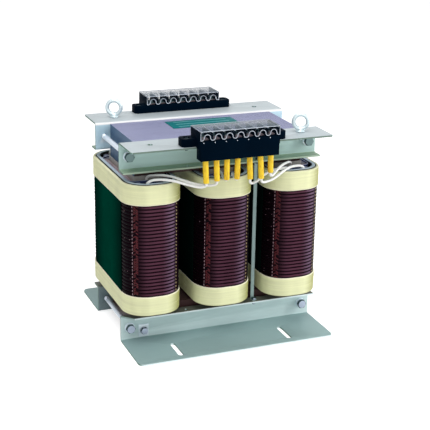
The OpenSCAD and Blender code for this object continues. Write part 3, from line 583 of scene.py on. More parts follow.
def make_materials():
    """All finishes, by the record's slot or by their own name."""
    winding, metal, block = props().winding, props().metal, props().block
    recipes = {
        "varnished_wire": (varnish_finish, winding),
        "cream_tape": (tape_finish, winding),
        "green_sheet": (sheet_finish, winding),
        "grey_collar": (collar_finish, winding),
        "barrier_board": (board_finish, winding.barrier_colour, winding.barrier_top_colour,
                          0.4, 200.0),
        "duct_board": (board_finish, winding.barrier_colour, winding.barrier_top_colour,
                       0.45, 160.0),
        "former_board": (board_finish, winding.former_colour, winding.former_colour, 0.5, 220.0),
        "layer_paper": (board_finish, winding.paper_colour, winding.paper_colour, 0.6, 240.0),
        "inner_copper": (brushed_finish, winding.copper, 0.35, 0.2, (1, 1, 40)),
        "core_steel": (lamination_finish, metal),
        "top_clamp_zinc": (clamp_finish, "front_top_clamp", metal.clamp_side,
                           (metal.clamp_inner_lit, metal.clamp_bend_highlight), (metal.clamp_lip_shade, metal.clamp_top_lit),
                           (metal.clamp_lip_cut, metal.clamp_cut_shade)),
        "bottom_clamp_zinc": (clamp_finish, "front_bottom_clamp", metal.foot_side,
                              (metal.foot_inner_shade, metal.foot_bend_shade), (metal.foot_top_shade, metal.foot_lip_shade),
                              (metal.foot_cut_highlight, metal.foot_cut_highlight)),
        "bright_zinc": (fastener_finish, metal),
        "strap_zinc": (worn_finish, metal.strap_zinc, 0.4, 0.2, 500.0),
        "washer_zinc": (worn_finish, metal.washer_zinc, 0.36, 0.2, 500.0),
        "rod_zinc": (brushed_finish, metal.rod_zinc, 0.3, 0.25, (1, 30, 1)),
        "eye_zinc": (worn_finish, metal.eye_zinc, 0.38, 0.7, 420.0, 0.05),
        "block_black": (worn_finish, block.mould_colour, 0.45, 0.0, 600.0, 0.2, 0.006),
        "clear_cover": (clear_finish, block.cover_colour),
        # White for the rims, painted highlights along the clear edges; the ribs and pips share it.
        "cover_rim": (worn_finish, block.rim_colour, 0.2, 0.0, 500.0, 0.03),
        "plated_brass": (worn_finish, block.bar_colour, 0.4, 0.3, 400.0, 0.1),
        "teal_label": (worn_finish, block.label_colour, 0.35, 0.0, 300.0, 0.05, 0.02, 0.005 * MM),
        "label_rule": (worn_finish, block.rule_colour, 0.4, 0.0, 300.0, 0.05, 0.5, 0.005 * MM),
        "yellow_sleeve": (sleeve_finish, block.sleeve_colour),
        "white_lead": (worn_finish, block.lead_colour, 0.42, 0.0, 300.0, 0.04),
        # Painted highlights, painted reflections and painted glints on the turns at the bends.
        "pale_lacing": (worn_finish, winding.highlight_bead_colour, 0.4, 0.0, 500.0, 0.1),
        "red_lacing": (worn_finish, winding.reflection_stroke_colour, 0.4, 0.0, 500.0, 0.25, 0.2),
        "gold_lacing": (worn_finish, winding.reflection_dot_colour, 0.45, 0.0, 500.0, 0.2, 0.2),
    }
    return {name: make(name, *values) for name, (make, *values) in recipes.items()}


MATERIALS = {}


def finish(name):
    """A finish by its name, made with all the others at its first use."""
    if not MATERIALS:
        MATERIALS.update(make_materials())
    return MATERIALS[name]


# Pieces

def link(obj):
    bpy.context.scene.collection.objects.link(obj)
    return obj


def place(obj, *nodes, slot=None, material=None):
    """Hand a finished piece to the frame, in place of its nodes."""
    slot = slot or SLOTS[nodes[0]]
    if material or not obj.data.materials:
        obj.data.materials.clear()
        obj.data.materials.append(finish(material or slot))
    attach(obj, "root")
    if nodes:
        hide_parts(*nodes)


def mesh_object(name, bm):
    """A linked object from a bmesh, which is freed."""
    mesh = bpy.data.meshes.new(name)
    bm.to_mesh(mesh)
    bm.free()
    return link(bpy.data.objects.new(name, mesh))


def solid_object(name, bm):
    """A linked object whose faces are first turned outwards."""
    bmesh.ops.recalc_face_normals(bm, faces=bm.faces)
    return mesh_object(name, bm)


def shade(obj, degrees=35.0):
    """Smooth shading that keeps edges sharper than an angle."""
    obj.data.shade_smooth()
    obj.data.set_sharp_from_angle(angle=math.radians(degrees))
    return obj


def apply_modifiers(obj):
    """Bake an object's modifiers into a plain mesh."""
    bpy.context.view_layer.update()
    graph = bpy.context.evaluated_depsgraph_get()
    mesh = bpy.data.meshes.new_from_object(obj.evaluated_get(graph))
    old = obj.data
    obj.modifiers.clear()
    obj.data = mesh
    bpy.data.meshes.remove(old)
    return obj


def merged_copy(name, node):
    """A CAD node's shape with its loose triangles merged and its flats cleaned."""
    weld, flat = 0.002 * MM, math.radians(0.6)
    bm = bmesh.new()
    bm.from_mesh(frame["nodes"][node].data)
    bmesh.ops.remove_doubles(bm, verts=bm.verts, dist=weld)
    bmesh.ops.dissolve_limit(bm, angle_limit=flat, verts=bm.verts, edges=bm.edges)
    return mesh_object(name, bm)


def finished_copy(node, edge, material=None):
    """A node's own shape with its sharp edges rounded."""
    obj = merged_copy(f"{node}_piece", node)
    bevel = obj.modifiers.new("edge", "BEVEL")
    bevel.width = edge
    bevel.segments = 2
    bevel.limit_method = "ANGLE"
    bevel.angle_limit = math.radians(40)
    place(shade(apply_modifiers(obj)), node, material=material)


# Swept and turned shapes

def join_rings(bm, here, after):
    """Faces between two rings with the same number of points."""
    for corners in zip(here, here[1:] + here[:1], after[1:] + after[:1], after):
        bm.faces.new(corners)


def outline_samples(half_x, half_y, radius, steps):
    """Corner centres and outward directions round a rounded rectangle, counter-clockwise."""
    longest = 12 * MM
    samples = []
    for quarter in range(4):
        sx = 1 if quarter in (0, 3) else -1
        sy = 1 if quarter in (0, 1) else -1
        for i in range(steps + 1):
            turn = math.pi / 2 * (quarter + i / steps)
            samples.append((sx * (half_x - radius), sy * (half_y - radius), turn))
    dense = []
    for (x, y, turn), (x1, y1, _) in zip(samples, samples[1:] + samples[:1]):
        dense.append((x, y, turn))
        parts = round(math.hypot(x1 - x, y1 - y) / longest)
        for i in range(1, parts):
            t = i / parts
            dense.append((x + (x1 - x) * t, y + (y1 - y) * t, turn))
    return dense


def ring_faces(bm, samples, radius, section, centre_x, wave=0.0, seed=0.0):
    """Sweep a closed section of (inset, height) points round an outline."""
    waves_per_metre = 55
    rings = []
    for x, y, turn in samples:
        cos, sin = math.cos(turn), math.sin(turn)
        ring = []
        for inset, z in section:
            at = Vector((x + cos * radius, y + sin * radius, z))
            stray = wave * (noise.noise(at * waves_per_metre + Vector((seed, 0, 0))) - 0.5)
            reach = radius - inset + stray
            ring.append(bm.verts.new((centre_x + x + reach * cos, y + reach * sin, z)))
        rings.append(ring)
    for here, after in zip(rings, rings[1:] + rings[:1]):
        join_rings(bm, here, after)


def tube(name, path, radius, sides, closed=False):
    """A round tube that follows a path without twist."""
    bm = bmesh.new()
    last = len(path) - 1
    spokes = [math.tau * j / sides for j in range(sides)]
    rings = []
    side = None
    for i, point in enumerate(path):
        before, after = max(i - 1, 0), min(i + 1, last)
        if closed:
            before, after = i - 1, (i + 1) % len(path)
        ahead = (path[after] - path[before]).normalized()
        side = ahead.orthogonal() if side is None else side
        side = (side - ahead * side.dot(ahead)).normalized()
        other = ahead.cross(side)
        rings.append([bm.verts.new(point + radius * math.cos(a) * side + radius * math.sin(a) * other)
                      for a in spokes])
    for here, after in zip(rings, rings[1:]):
        join_rings(bm, here, after)
    first, end = rings[0], rings[-1]
    if closed:
        start = min(range(sides), key=lambda j: (first[j].co - end[0].co).length)
        join_rings(bm, end, first[start:] + first[:start])
    else:
        bm.faces.new(first[::-1])
        bm.faces.new(end)
    obj = solid_object(name, bm)
    obj.data.shade_smooth()
    return obj


def stack_rings(bm, rings, at=Matrix(), cap=True):
    """Join rings of points, each the same number round an axis, and close their ends."""
    made = [[bm.verts.new(at @ Vector(point)) for point in ring] for ring in rings]
    for here, after in zip(made, made[1:] if cap else made[1:] + made[:1]):
        join_rings(bm, here, after)
    if cap:
        bm.faces.new(made[0][::-1])
        bm.faces.new(made[-1])


def hexagon(bm, across, height, at, bore=0.0):
    """A hexagon with its corners turned off at both ends, and a hole if it is a nut."""
    steps = 36
    turned = across / 2 * props().metal.head_turned
    turns = [math.tau * j / steps for j in range(steps)]
    flats = [across / 2 / math.cos((a % (math.pi / 3)) - math.pi / 6) for a in turns]
    drops = [(r - turned) * math.tan(math.pi / 6) for r in flats]

    def level(radii, heights):
        return [(r * math.cos(a), r * math.sin(a), z) for a, r, z in zip(turns, radii, heights)]

    foot, top = [0.0] * steps, [height] * steps
    rings = [level([turned] * steps, foot), level(flats, drops),
             level(flats, [height - drop for drop in drops]), level([turned] * steps, top)]
    if bore:
        rings += [level([bore / 2] * steps, top), level([bore / 2] * steps, foot)]
    stack_rings(bm, rings, at, not bore)


def threaded_rod(bm, radius, run, thread, at):
    """A rod along its own axis, with a helical thread over the last stretch."""
    pitch = props().metal.thread_pitch
    depth = pitch / 2
    steps = 20
    marks = [0.0] + [run - thread + k * pitch / 4 for k in range(int(thread / pitch * 4))] + [run]
    rings = []
    for z in marks:
        ring = []
        for j in range(steps):
            turn = math.tau * j / steps
            cut = 0.0
            if z == run:
                cut = depth
            elif z > run - thread:
                cut = depth * abs(2 * (((z - run) / pitch - j / steps) % 1.0) - 1)
            ring.append(((radius - cut) * math.cos(turn), (radius - cut) * math.sin(turn), z))
        rings.append(ring)
    stack_rings(bm, rings, at)


def split_ring(bm, outer, inner, thickness, rise, cut, at):
    """A spring washer: one turn of square wire that climbs to its cut."""
    steps = 32
    half = cut / (outer + inner)
    rings = []
    for k in range(steps + 1):
        turn = half - math.pi / 2 + (math.tau - 2 * half) * k / steps
        low = rise * k / steps
        corners = ((inner, low), (outer, low), (outer, low + thickness), (inner, low + thickness))
        rings.append([(d / 2 * math.cos(turn), d / 2 * math.sin(turn), z) for d, z in corners])
    stack_rings(bm, rings, at)


def frontwards(x, y, z):
    """A place whose own upward axis points to the front."""
    return Matrix.Translation((x, y, z)) @ Matrix.Rotation(math.pi / 2, 4, "X")


def spline(p, steps):
    """Points on a smooth curve through a route's points."""
    points = []
    for i in range(len(p) - 1):
        a, b, c, d = p[max(i - 1, 0)], p[i], p[i + 1], p[min(i + 2, len(p) - 1)]
        for j in range(steps):
            t = j / steps
            points.append(0.5 * (2 * b + (c - a) * t + (2 * a - 5 * b + 4 * c - d) * t * t
                                 + (3 * b - a - 3 * c + d) * t ** 3))
    return points + [p[-1]]


# Trees that repeat things

def new_tree(name, **sockets):
    """An empty tree with named inputs, listed by kind, and the sockets that give them."""
    tree = bpy.data.node_groups.new(name, "GeometryNodeTree")
    for kind, names in sockets.items():
        for key in names.split(", "):
            tree.interface.new_socket(name=key, in_out="INPUT", socket_type=f"NodeSocket{kind}")
    tree.interface.new_socket(name="Geometry", in_out="OUTPUT", socket_type="NodeSocketGeometry")
    return tree, tree.nodes.new("NodeGroupInput").outputs


def end_tree(tree, geometry, material, smooth=True):
    """Realize, shade and colour the tree's result."""
    real = add(tree, "GeometryNodeRealizeInstances", Geometry=geometry)
    shaded = add(tree, "GeometryNodeSetShadeSmooth", Geometry=real, Shade_Smooth=smooth)
    done = add(tree, "GeometryNodeSetMaterial", Geometry=shaded, Material=material)
    feed(tree, tree.nodes.new("NodeGroupOutput").inputs[0], done)
    return tree


def grow(name, tree, **values):
    """Run a tree with the given inputs and return the result as a plain mesh object."""
    obj = link(bpy.data.objects.new(name, bpy.data.meshes.new(name)))
    modifier = obj.modifiers.new("grow", "NODES")
    modifier.node_group = tree
    inputs = {item.name: item.identifier for item in tree.interface.items_tree
              if item.in_out == "INPUT"}
    for key, value in values.items():
        modifier[inputs[key.replace("_", " ")]] = value
    return apply_modifiers(obj)


def combine(tree, **axes):
    """A vector from its parts; a part left out is 0."""
    return add(tree, "ShaderNodeCombineXYZ", **axes)


def strays(tree, most, seed):
    """Random vectors between minus and plus the most on each axis."""
    least = add(tree, "ShaderNodeVectorMath", {"operation": "SCALE"}, Vector=most, Scale=-1.0)
    return add(tree, "FunctionNodeRandomValue", {"data_type": "FLOAT_VECTOR"}, Min=least, Max=most,
               Seed=seed)


def joined(tree, *parts):
    node = add(tree, "GeometryNodeJoinGeometry")
    for geometry in parts:
        feed(tree, node.inputs[0], geometry)
    return node


def winding_tree():
    """Turns of round-cornered wire stacked on a closed body."""
    tree, get = new_tree(
        "winding", Int="Corner Steps, Turns, Seed", Vector="Centre", Material="Material",
        Float="Width, Depth, Corner, Turn Height, First Turn, Wire Depth, Wire Rounding, "
              "Wire Gap, Wander, Body Height, Body Middle, Build")

    def rounded(width, height, steps, radius):
        box = add(tree, "GeometryNodeCurvePrimitiveQuadrilateral", Width=width, Height=height)
        return add(tree, "GeometryNodeFilletCurve", {"mode": "POLY"}, Curve=box, Count=steps,
                   Radius=radius)

    def outline(inset):
        twice = math_node(tree, "MULTIPLY", inset, 2.0)
        width = math_node(tree, "SUBTRACT", get["Width"], twice)
        depth = math_node(tree, "SUBTRACT", get["Depth"], twice)
        corner = math_node(tree, "SUBTRACT", get["Corner"], inset)
        return add(tree, "GeometryNodeSetCurveNormal", {"mode": "Z_UP"},
                   Curve=rounded(width, depth, get["Corner Steps"], corner))

    half_wire = math_node(tree, "MULTIPLY", get["Wire Depth"], 0.5)
    rise = math_node(tree, "SUBTRACT", get["Turn Height"], get["Wire Gap"])
    turn = add(tree, "GeometryNodeCurveToMesh", Curve=outline(half_wire),
               Profile_Curve=rounded(get["Wire Depth"], rise, 4, get["Wire Rounding"]))
    line = add(tree, "GeometryNodeMeshLine", Count=get["Turns"],
               Start_Location=combine(tree, Z=get["First Turn"]),
               Offset=combine(tree, Z=get["Turn Height"]))
    stack = add(tree, "GeometryNodeInstanceOnPoints", Points=line, Instance=turn)
    wander = combine(tree, X=get["Wander"], Y=get["Wander"])
    turns = add(tree, "GeometryNodeTranslateInstances", Instances=stack,
                Translation=strays(tree, wander, get["Seed"]))
    inset = math_node(tree, "MULTIPLY", math_node(tree, "ADD", get["Build"], half_wire), 0.5)
    section = add(tree, "GeometryNodeCurvePrimitiveQuadrilateral", Height=get["Body Height"],
                  Width=math_node(tree, "SUBTRACT", get["Build"], half_wire))
    body = add(tree, "GeometryNodeCurveToMesh", Curve=outline(inset), Profile_Curve=section)
    body = add(tree, "GeometryNodeTransform", Geometry=body,
               Translation=combine(tree, Z=get["Body Middle"]))
    whole = add(tree, "GeometryNodeTransform", Geometry=joined(tree, turns, body),
                Translation=get["Centre"])
    return end_tree(tree, whole, get["Material"])


def lamination_tree():
    """Thin sheets side by side along Y, each a little short."""
    tree, get = new_tree("laminations", Float="Width, Height, Sheet, Stray", Int="Count, Seed",
                         Vector="Start", Material="Material")
    size = combine(tree, X=get["Width"], Y=get["Sheet"], Z=get["Height"])
    sheet = add(tree, "GeometryNodeMeshCube", Size=size)
    line = add(tree, "GeometryNodeMeshLine", Count=get["Count"], Start_Location=get["Start"],
               Offset=combine(tree, Y=get["Sheet"]))
    pile = add(tree, "GeometryNodeInstanceOnPoints", Points=line, Instance=sheet)
    shares = [math_node(tree, "SUBTRACT", 1.0, math_node(tree, "DIVIDE", get["Stray"], get[side]))
              for side in ("Width", "Height")]
    scale = add(tree, "FunctionNodeRandomValue", {"data_type": "FLOAT_VECTOR"},
                Min=combine(tree, X=shares[0], Y=1.0, Z=shares[1]), Max=(1.0, 1.0, 1.0),
                Seed=get["Seed"])
    cut = add(tree, "GeometryNodeScaleInstances", Instances=pile, Scale=scale)
    return end_tree(tree, cut, get["Material"], False)


def copies_tree():
    """Copies of one object on a grid, on the front and, turned half round, on the rear."""
    tree, get = new_tree(
        "copies", Object="Object", Float="Size X, Size Y, Stray, Keep", Bool="Rear",
        Int="Count X, Count Y, Seed", Vector="Grid Turn, Centre, Copy Turn", Material="Material")

    def turn(key):
        return add(tree, "FunctionNodeEulerToRotation", Euler=get[key])

    grid = add(tree, "GeometryNodeMeshGrid", Size_X=get["Size X"], Size_Y=get["Size Y"],
               Vertices_X=get["Count X"], Vertices_Y=get["Count Y"])
    turned = add(tree, "GeometryNodeTransform", Geometry=grid, Translation=get["Centre"],
                 Rotation=turn("Grid Turn"))
    stray = combine(tree, X=get["Stray"], Y=get["Stray"], Z=get["Stray"])
    moved = add(tree, "GeometryNodeSetPosition", Geometry=turned,
                Offset=strays(tree, stray, get["Seed"]))
    chosen = add(tree, "FunctionNodeRandomValue", {"data_type": "BOOLEAN"},
                 Probability=get["Keep"], Seed=get["Seed"])
    model = add(tree, "GeometryNodeObjectInfo", Object=get["Object"], As_Instance=True)
    copies = add(tree, "GeometryNodeInstanceOnPoints", Points=moved,
                 Selection=chosen.outputs[3], Instance=model.outputs["Geometry"],
                 Rotation=turn("Copy Turn"))
    rear = add(tree, "GeometryNodeTransform", Geometry=copies, Rotation=(0, 0, math.pi))
    switch = add(tree, "GeometryNodeSwitch", {"input_type": "GEOMETRY"}, Switch=get["Rear"],
                 True_=rear)
    return end_tree(tree, joined(tree, copies, switch), get["Material"])


def repeat(name, model, material, slot, **values):
    """Grow copies of a model, which is then removed, as one piece."""
    tree = bpy.data.node_groups.get("copies") or copies_tree()
    values = {"Count_X": 1, "Count_Y": 1, "Keep": 1.0, "Rear": True, **values}
    piece = grow(name, tree, Object=model, Material=finish(material), **values)
    mesh = model.data
    bpy.data.objects.remove(model)
    bpy.data.meshes.remove(mesh)
    place(piece, slot=slot)


def pebble(size):
    """A small rounded body with few faces, for a bead, a stroke or a pip."""
    bm = bmesh.new()
    bmesh.ops.create_uvsphere(bm, u_segments=8, v_segments=5, radius=1.0,
                              matrix=Matrix.Diagonal((*size, 1.0)))
    return mesh_object("model", bm)


def rounded_bar(size, edge):
    """A bar with rounded edges round the origin."""
    bm = bmesh.new()
    bmesh.ops.create_cube(bm, size=1.0, matrix=Matrix.Diagonal((*size, 1.0)))
    bmesh.ops.bevel(bm, geom=bm.edges[:], offset=edge, segments=2, affect="EDGES", profile=0.5)
    return mesh_object("model", bm)


def seen(tree):
    """1 for rays from the camera or through gloss or glass, and 0 for the others."""
    path = add(tree, "ShaderNodeLightPath").outputs
    direct = math_node(tree, "MAXIMUM", path["Is Camera Ray"], path["Is Transmission Ray"])
    return math_node(tree, "MAXIMUM", direct, path["Is Glossy Ray"])


class TRANSFORMER_OT_stage(bpy.types.Operator):
    """Set the floor, the lights and the camera"""
    bl_idname = "transformer.stage"
    bl_label = "Stage"

    def execute(self, context):
        stage = props().stage
        level = math.cos(stage.elevation)
        toward = Vector((math.sin(stage.azimuth) * level, -math.cos(stage.azimuth) * level,
                         math.sin(stage.elevation)))
        camera = link(bpy.data.objects.new("camera", bpy.data.cameras.new("camera")))
        camera.data.lens = stage.lens
        look = (-toward).to_track_quat("-Z", "Y").to_matrix().to_4x4()
        spot = Matrix.Translation(Vector(stage.target) + toward * stage.distance)
        camera.matrix_world = spot @ look @ Matrix.Rotation(stage.roll, 4, "Z")
        context.scene.camera = camera
        self.add_floor()
        self.add_world(context.scene)
        self.add_lamp("top", (-0.3, -0.5, 1.9), (0.0, 0.0, 0.2), (1.6, 1.6), 24.0)
        self.add_lamp("right", (1.85, -0.78, 0.75), (0.05, 0.0, 0.16), (0.3, 1.4), 25.0)
        self.add_lamp("front", (-0.5, -2.3, 0.6), (0.0, 0.0, 0.16), (1.6, 1.0), 8.0)
        context.scene.view_settings.view_transform = "Standard"
        return {"FINISHED"}

    def add_floor(self):
        bpy.ops.mesh.primitive_plane_add(size=12.0, location=(0, 0, 0))
        floor = bpy.context.object
        floor.name = "floor"
        mat, tree, shader = new_material("floor", (0.86, 0.86, 0.86), 0.9)
        shader.inputs["Emission Color"].default_value = (1.0, 1.0, 1.0, 1.0)
        strength = math_node(tree, "MULTIPLY", seen(tree), 0.6)
        feed(tree, shader.inputs["Emission Strength"], strength)
        floor.data.materials.append(mat)

    def add_world(self, scene):
        scene.world = bpy.data.worlds.new("studio")
        scene.world.use_nodes = True
        tree = scene.world.node_tree
        background = tree.nodes["Background"]
        background.inputs["Color"].default_value = (1.0, 1.0, 1.0, 1.0)
        feed(tree, background.inputs["Strength"], spread(tree, seen(tree), 0.42, 1.0))

    def add_lamp(self, name, position, aim, size, watts):
        lamp = bpy.data.lights.new(name, "AREA")
        lamp.shape = "RECTANGLE"
        lamp.size, lamp.size_y = size
        lamp.energy = watts
        obj = link(bpy.data.objects.new(name, lamp))
        obj.location = position
        turn = (Vector(aim) - Vector(position)).to_track_quat("-Z", "Y")
        obj.rotation_euler = turn.to_euler()


class TRANSFORMER_OT_core(bpy.types.Operator):
    """Build the core's limbs and yokes from thin steel sheets"""
    bl_idname = "transformer.core"
    bl_label = "Core"

    def execute(self, context):
        metal = props().metal
        tree = lamination_tree()
        nodes = [f"core_limb_{side}" for side in COILS] + ["core_top_yoke", "core_bottom_yoke"]
        for seed, node in enumerate(nodes):
            low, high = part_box(node)
            size = high - low
            sheets = round(size.y / metal.lamination)
            sheet = size.y / sheets
            start = Vector(((low.x + high.x) / 2, low.y + sheet / 2, (low.z + high.z) / 2))
            piece = grow(f"{node}_sheets", tree, Width=size.x, Height=size.z, Sheet=sheet,
                         Count=sheets, Stray=metal.lamination_stray, Seed=seed, Start=start,
                         Material=finish("core_steel"))
            place(piece, node)
        return {"FINISHED"}


class TRANSFORMER_OT_clamps(bpy.types.Operator):
    """Round the edges of the four folded clamps"""
    bl_idname = "transformer.clamps"
    bl_label = "Clamps"

    def execute(self, context):
        for side in SIDES:
            for level in ("top", "bottom"):
                finished_copy(f"{side}_{level}_clamp", props().metal.sheet_edge)
        return {"FINISHED"}


class TRANSFORMER_OT_windings(bpy.types.Operator):
    """Wind the varnished outer windings turn by turn"""
    bl_idname = "transformer.windings"
    bl_label = "Outer windings"

    def execute(self, context):
        winding = props().winding
        tree = winding_tree()
        for seed, coil in enumerate(COILS):
            node = f"outer_winding_{coil}"
            low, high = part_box(node)
            size = high - low
            middle = (low.z + high.z) / 2
            turns = int(size.z / winding.turn)
            piece = grow(
                f"{node}_turns", tree, Width=size.x, Depth=size.y,
                Corner=winding.coil_corner - winding.tape, Corner_Steps=winding.corner_steps,
                Turns=turns, Turn_Height=winding.turn,
                First_Turn=middle - (turns - 1) / 2 * winding.turn,
                Wire_Depth=winding.wire_depth, Wire_Rounding=winding.wire_round,
                Wire_Gap=winding.wire_gap, Wander=winding.wander, Seed=seed + 11,
                Body_Height=size.z, Body_Middle=middle, Build=winding.build,
                Centre=Vector(((low.x + high.x) / 2, 0.0, 0.0)), Material=finish("varnished_wire"))
            place(shade(piece, 50.0), node)
        return {"FINISHED"}


class TRANSFORMER_OT_bands(bpy.types.Operator):
    """Wrap the tape bands round the coils' ends"""
    bl_idname = "transformer.bands"
    bl_label = "Tape bands"

    def execute(self, context):
        winding = props().winding
        ripple = 0.22 * MM
        for level, name in ((1, "upper"), (-1, "lower")):
            for seed, coil in enumerate(COILS):
                node = f"{name}_band_{coil}"
                low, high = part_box(node)
                end, free = (high.z, low.z) if level > 0 else (low.z, high.z)
                samples = outline_samples((high.x - low.x) / 2, (high.y - low.y) / 2,
                                          winding.coil_corner, winding.corner_steps)
                bm = bmesh.new()
                section = self.section(end, free, level, winding.tape)
                ring_faces(bm, samples, winding.coil_corner, section, (low.x + high.x) / 2,
                           ripple, seed * 7.0 + level)
                place(shade(solid_object(f"{node}_wrap", bm), 60.0), node)
        return {"FINISHED"}

    def section(self, end, free, level, tape):
        """The band's section in insets and heights, from its free edge over its laps to the
        fold over the coil's end."""
        bend, fold, fold_height, soft = 1.8 * MM, 4.5 * MM, 1.0 * MM, 0.35 * MM
        # Share of the band's height and inset in millimetres of each lap's ends
        laps = ((0.12, 0.1), (0.3, 0.12), (0.301, 0.3), (0.52, 0.3), (0.521, 0.16), (0.7, 0.14),
                (0.701, 0.36), (0.88, 0.34))
        points = [(tape, free), (0.5 * MM, free), (0.12 * MM, free + level * soft)]
        points += [(inset * MM, free + (end - free) * share) for share, inset in laps]
        for k in range(5):
            turn = math.pi / 2 * k / 4
            points.append((0.3 * MM + bend * (1 - math.cos(turn)),
                           end - level * bend * (1 - math.sin(turn))))
        return points + [(fold - 0.4 * MM, end), (fold, end - level * soft),
                         (fold, end - level * fold_height), (tape, end - level * fold_height)]


class TRANSFORMER_OT_insulation(bpy.types.Operator):
    """Finish the sheets, collars, barriers, duct sticks and formers of the coils"""
    bl_idname = "transformer.insulation"
    bl_label = "Coil insulation"

    def execute(self, context):
        board_edge, stick_edge = 0.25 * MM, 0.5 * MM
        for coil in COILS:
            for node in ("side_sheets", "barrier_tube", "coil_former"):
                finished_copy(f"{node}_{coil}", board_edge)
            self.layer_winding(coil)
        self.groove_collars()
        finished_copy("duct_spacers", stick_edge)
        return {"FINISHED"}

    def layer_winding(self, coil):
        """Copper layers of the inner winding with paper standing proud between them."""
        winding = props().winding
        node = f"inner_winding_{coil}"
        low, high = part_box(node)
        samples = outline_samples((high.x - low.x) / 2, (high.y - low.y) / 2,
                                  winding.inner_corner, 8)
        layer = winding.inner_build / winding.layers
        paper_rise = 0.8 * MM
        for name, material, start, stop, drop in (
                ("copper", "inner_copper", winding.paper, layer, paper_rise),
                ("paper", "layer_paper", 0.0, winding.paper, 0.0)):
            bm = bmesh.new()
            foot, top = low.z + drop, high.z - drop
            for k in range(winding.layers):
                outer, inner = k * layer + start, k * layer + stop
                section = ((outer, foot), (outer, top), (inner, top), (inner, foot))
                ring_faces(bm, samples, winding.inner_corner, section, (low.x + high.x) / 2)
            place(shade(solid_object(f"{node}_{name}", bm)), node, material=material)

    def groove_collars(self):
        """Collars with a groove beside the fold of the tape and a raised part inside it."""
        winding = props().winding
        low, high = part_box("end_collars")
        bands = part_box("upper_band_left")
        half = (bands[1] - bands[0]) / 2
        samples = outline_samples(half.x, half.y, winding.coil_corner, winding.corner_steps)
        inner = winding.tape + winding.build
        groove_end, slope, soft = 6.0 * MM, 0.2 * MM, 0.3 * MM
        bm = bmesh.new()
        for coil in COILS:
            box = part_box(f"upper_band_{coil}")
            for edge, level in ((low.z, -1), (high.z, 1)):
                back = edge - level * winding.collar
                groove = edge - level * winding.collar_groove
                top = edge + level * winding.collar_rise
                section = ((winding.tape, back), (winding.tape, groove), (groove_end, groove),
                           (groove_end + slope, top), (inner - soft, top),
                           (inner, top - level * soft), (inner, back))
                ring_faces(bm, samples, winding.coil_corner, section, (box[0].x + box[1].x) / 2)
        place(shade(solid_object("end_collars_grooved", bm)), "end_collars")


class TRANSFORMER_OT_bend_marks(bpy.types.Operator):
    """Put pale, red and gold marks in columns at the coils' bends: painted highlights and painted
    reflections on the turns, with a few pale painted glints
    """
    bl_idname = "transformer.lacing"
    bl_label = "Lacing"

    def execute(self, context):
        winding = props().winding
        low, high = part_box("outer_winding_centre")
        half = (high - low) / 2
        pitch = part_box("outer_winding_right")[0].x - low.x
        radius = winding.coil_corner - winding.tape
        sunk, stray = winding.lacing * 0.3, 0.12 * MM
        reach = radius - sunk
        foot, top = between_bands()
        turns = round((top - foot) / winding.turn)
        red = (winding.stroke / winding.lacing / 2, 0.7, 0.62)
        # Shape of the thin pale strokes, which are scattered painted glints on the left bend.
        thread = (1.1, 0.25, 0.22)
        # Name, place round the bend, shape, marks per turn, lean, share kept, finish. The pale beads
        # are painted highlights, the red strokes and gold dots painted reflections, and the thin
        # strokes painted glints.
        spots = (
            ("pale", -49, (0.5, 0.6, 1.3), 1, 0, 1.0, "pale_lacing"),
            ("red_outer", -43, red, 2, -38, 0.75, "red_lacing"),
            ("red_inner", -37, red, 2, 38, 0.75, "red_lacing"),
            ("gold", 42, (1.25, 0.75, 0.5), 1, 58, 1.0, "gold_lacing"),
            ("gold_twist", 43, (1.1, 0.6, 0.4), 1, -58, 0.6, "gold_lacing"),
            ("thread_1", -56, thread, 2, -55, 0.06, "pale_lacing"),
            ("thread_2", -65, thread, 2, -55, 0.07, "pale_lacing"),
            ("thread_3", -75, thread, 2, -55, 0.07, "pale_lacing"),
        )
        for seed, (name, degrees, shape, per_turn, lean, keep, material) in enumerate(spots):
            bend = math.radians(degrees)
            mark_count = turns * per_turn
            middle = Vector((math.copysign(half.x - radius, bend) + reach * math.sin(bend),
                             -(high.y - radius) - reach * math.cos(bend), (foot + top) / 2))
            repeat(f"lacing_{name}", pebble([v * winding.lacing for v in shape]), material,
                   "varnished_wire", Size_X=2 * pitch,
                   Size_Y=(mark_count - 1) * winding.turn / per_turn, Count_X=3,
                   Count_Y=mark_count, Grid_Turn=Vector((math.pi / 2, 0, 0)),
                   Centre=middle, Copy_Turn=Vector((0, math.radians(lean), bend)), Keep=keep,
                   Seed=seed, Stray=stray)
        return {"FINISHED"}


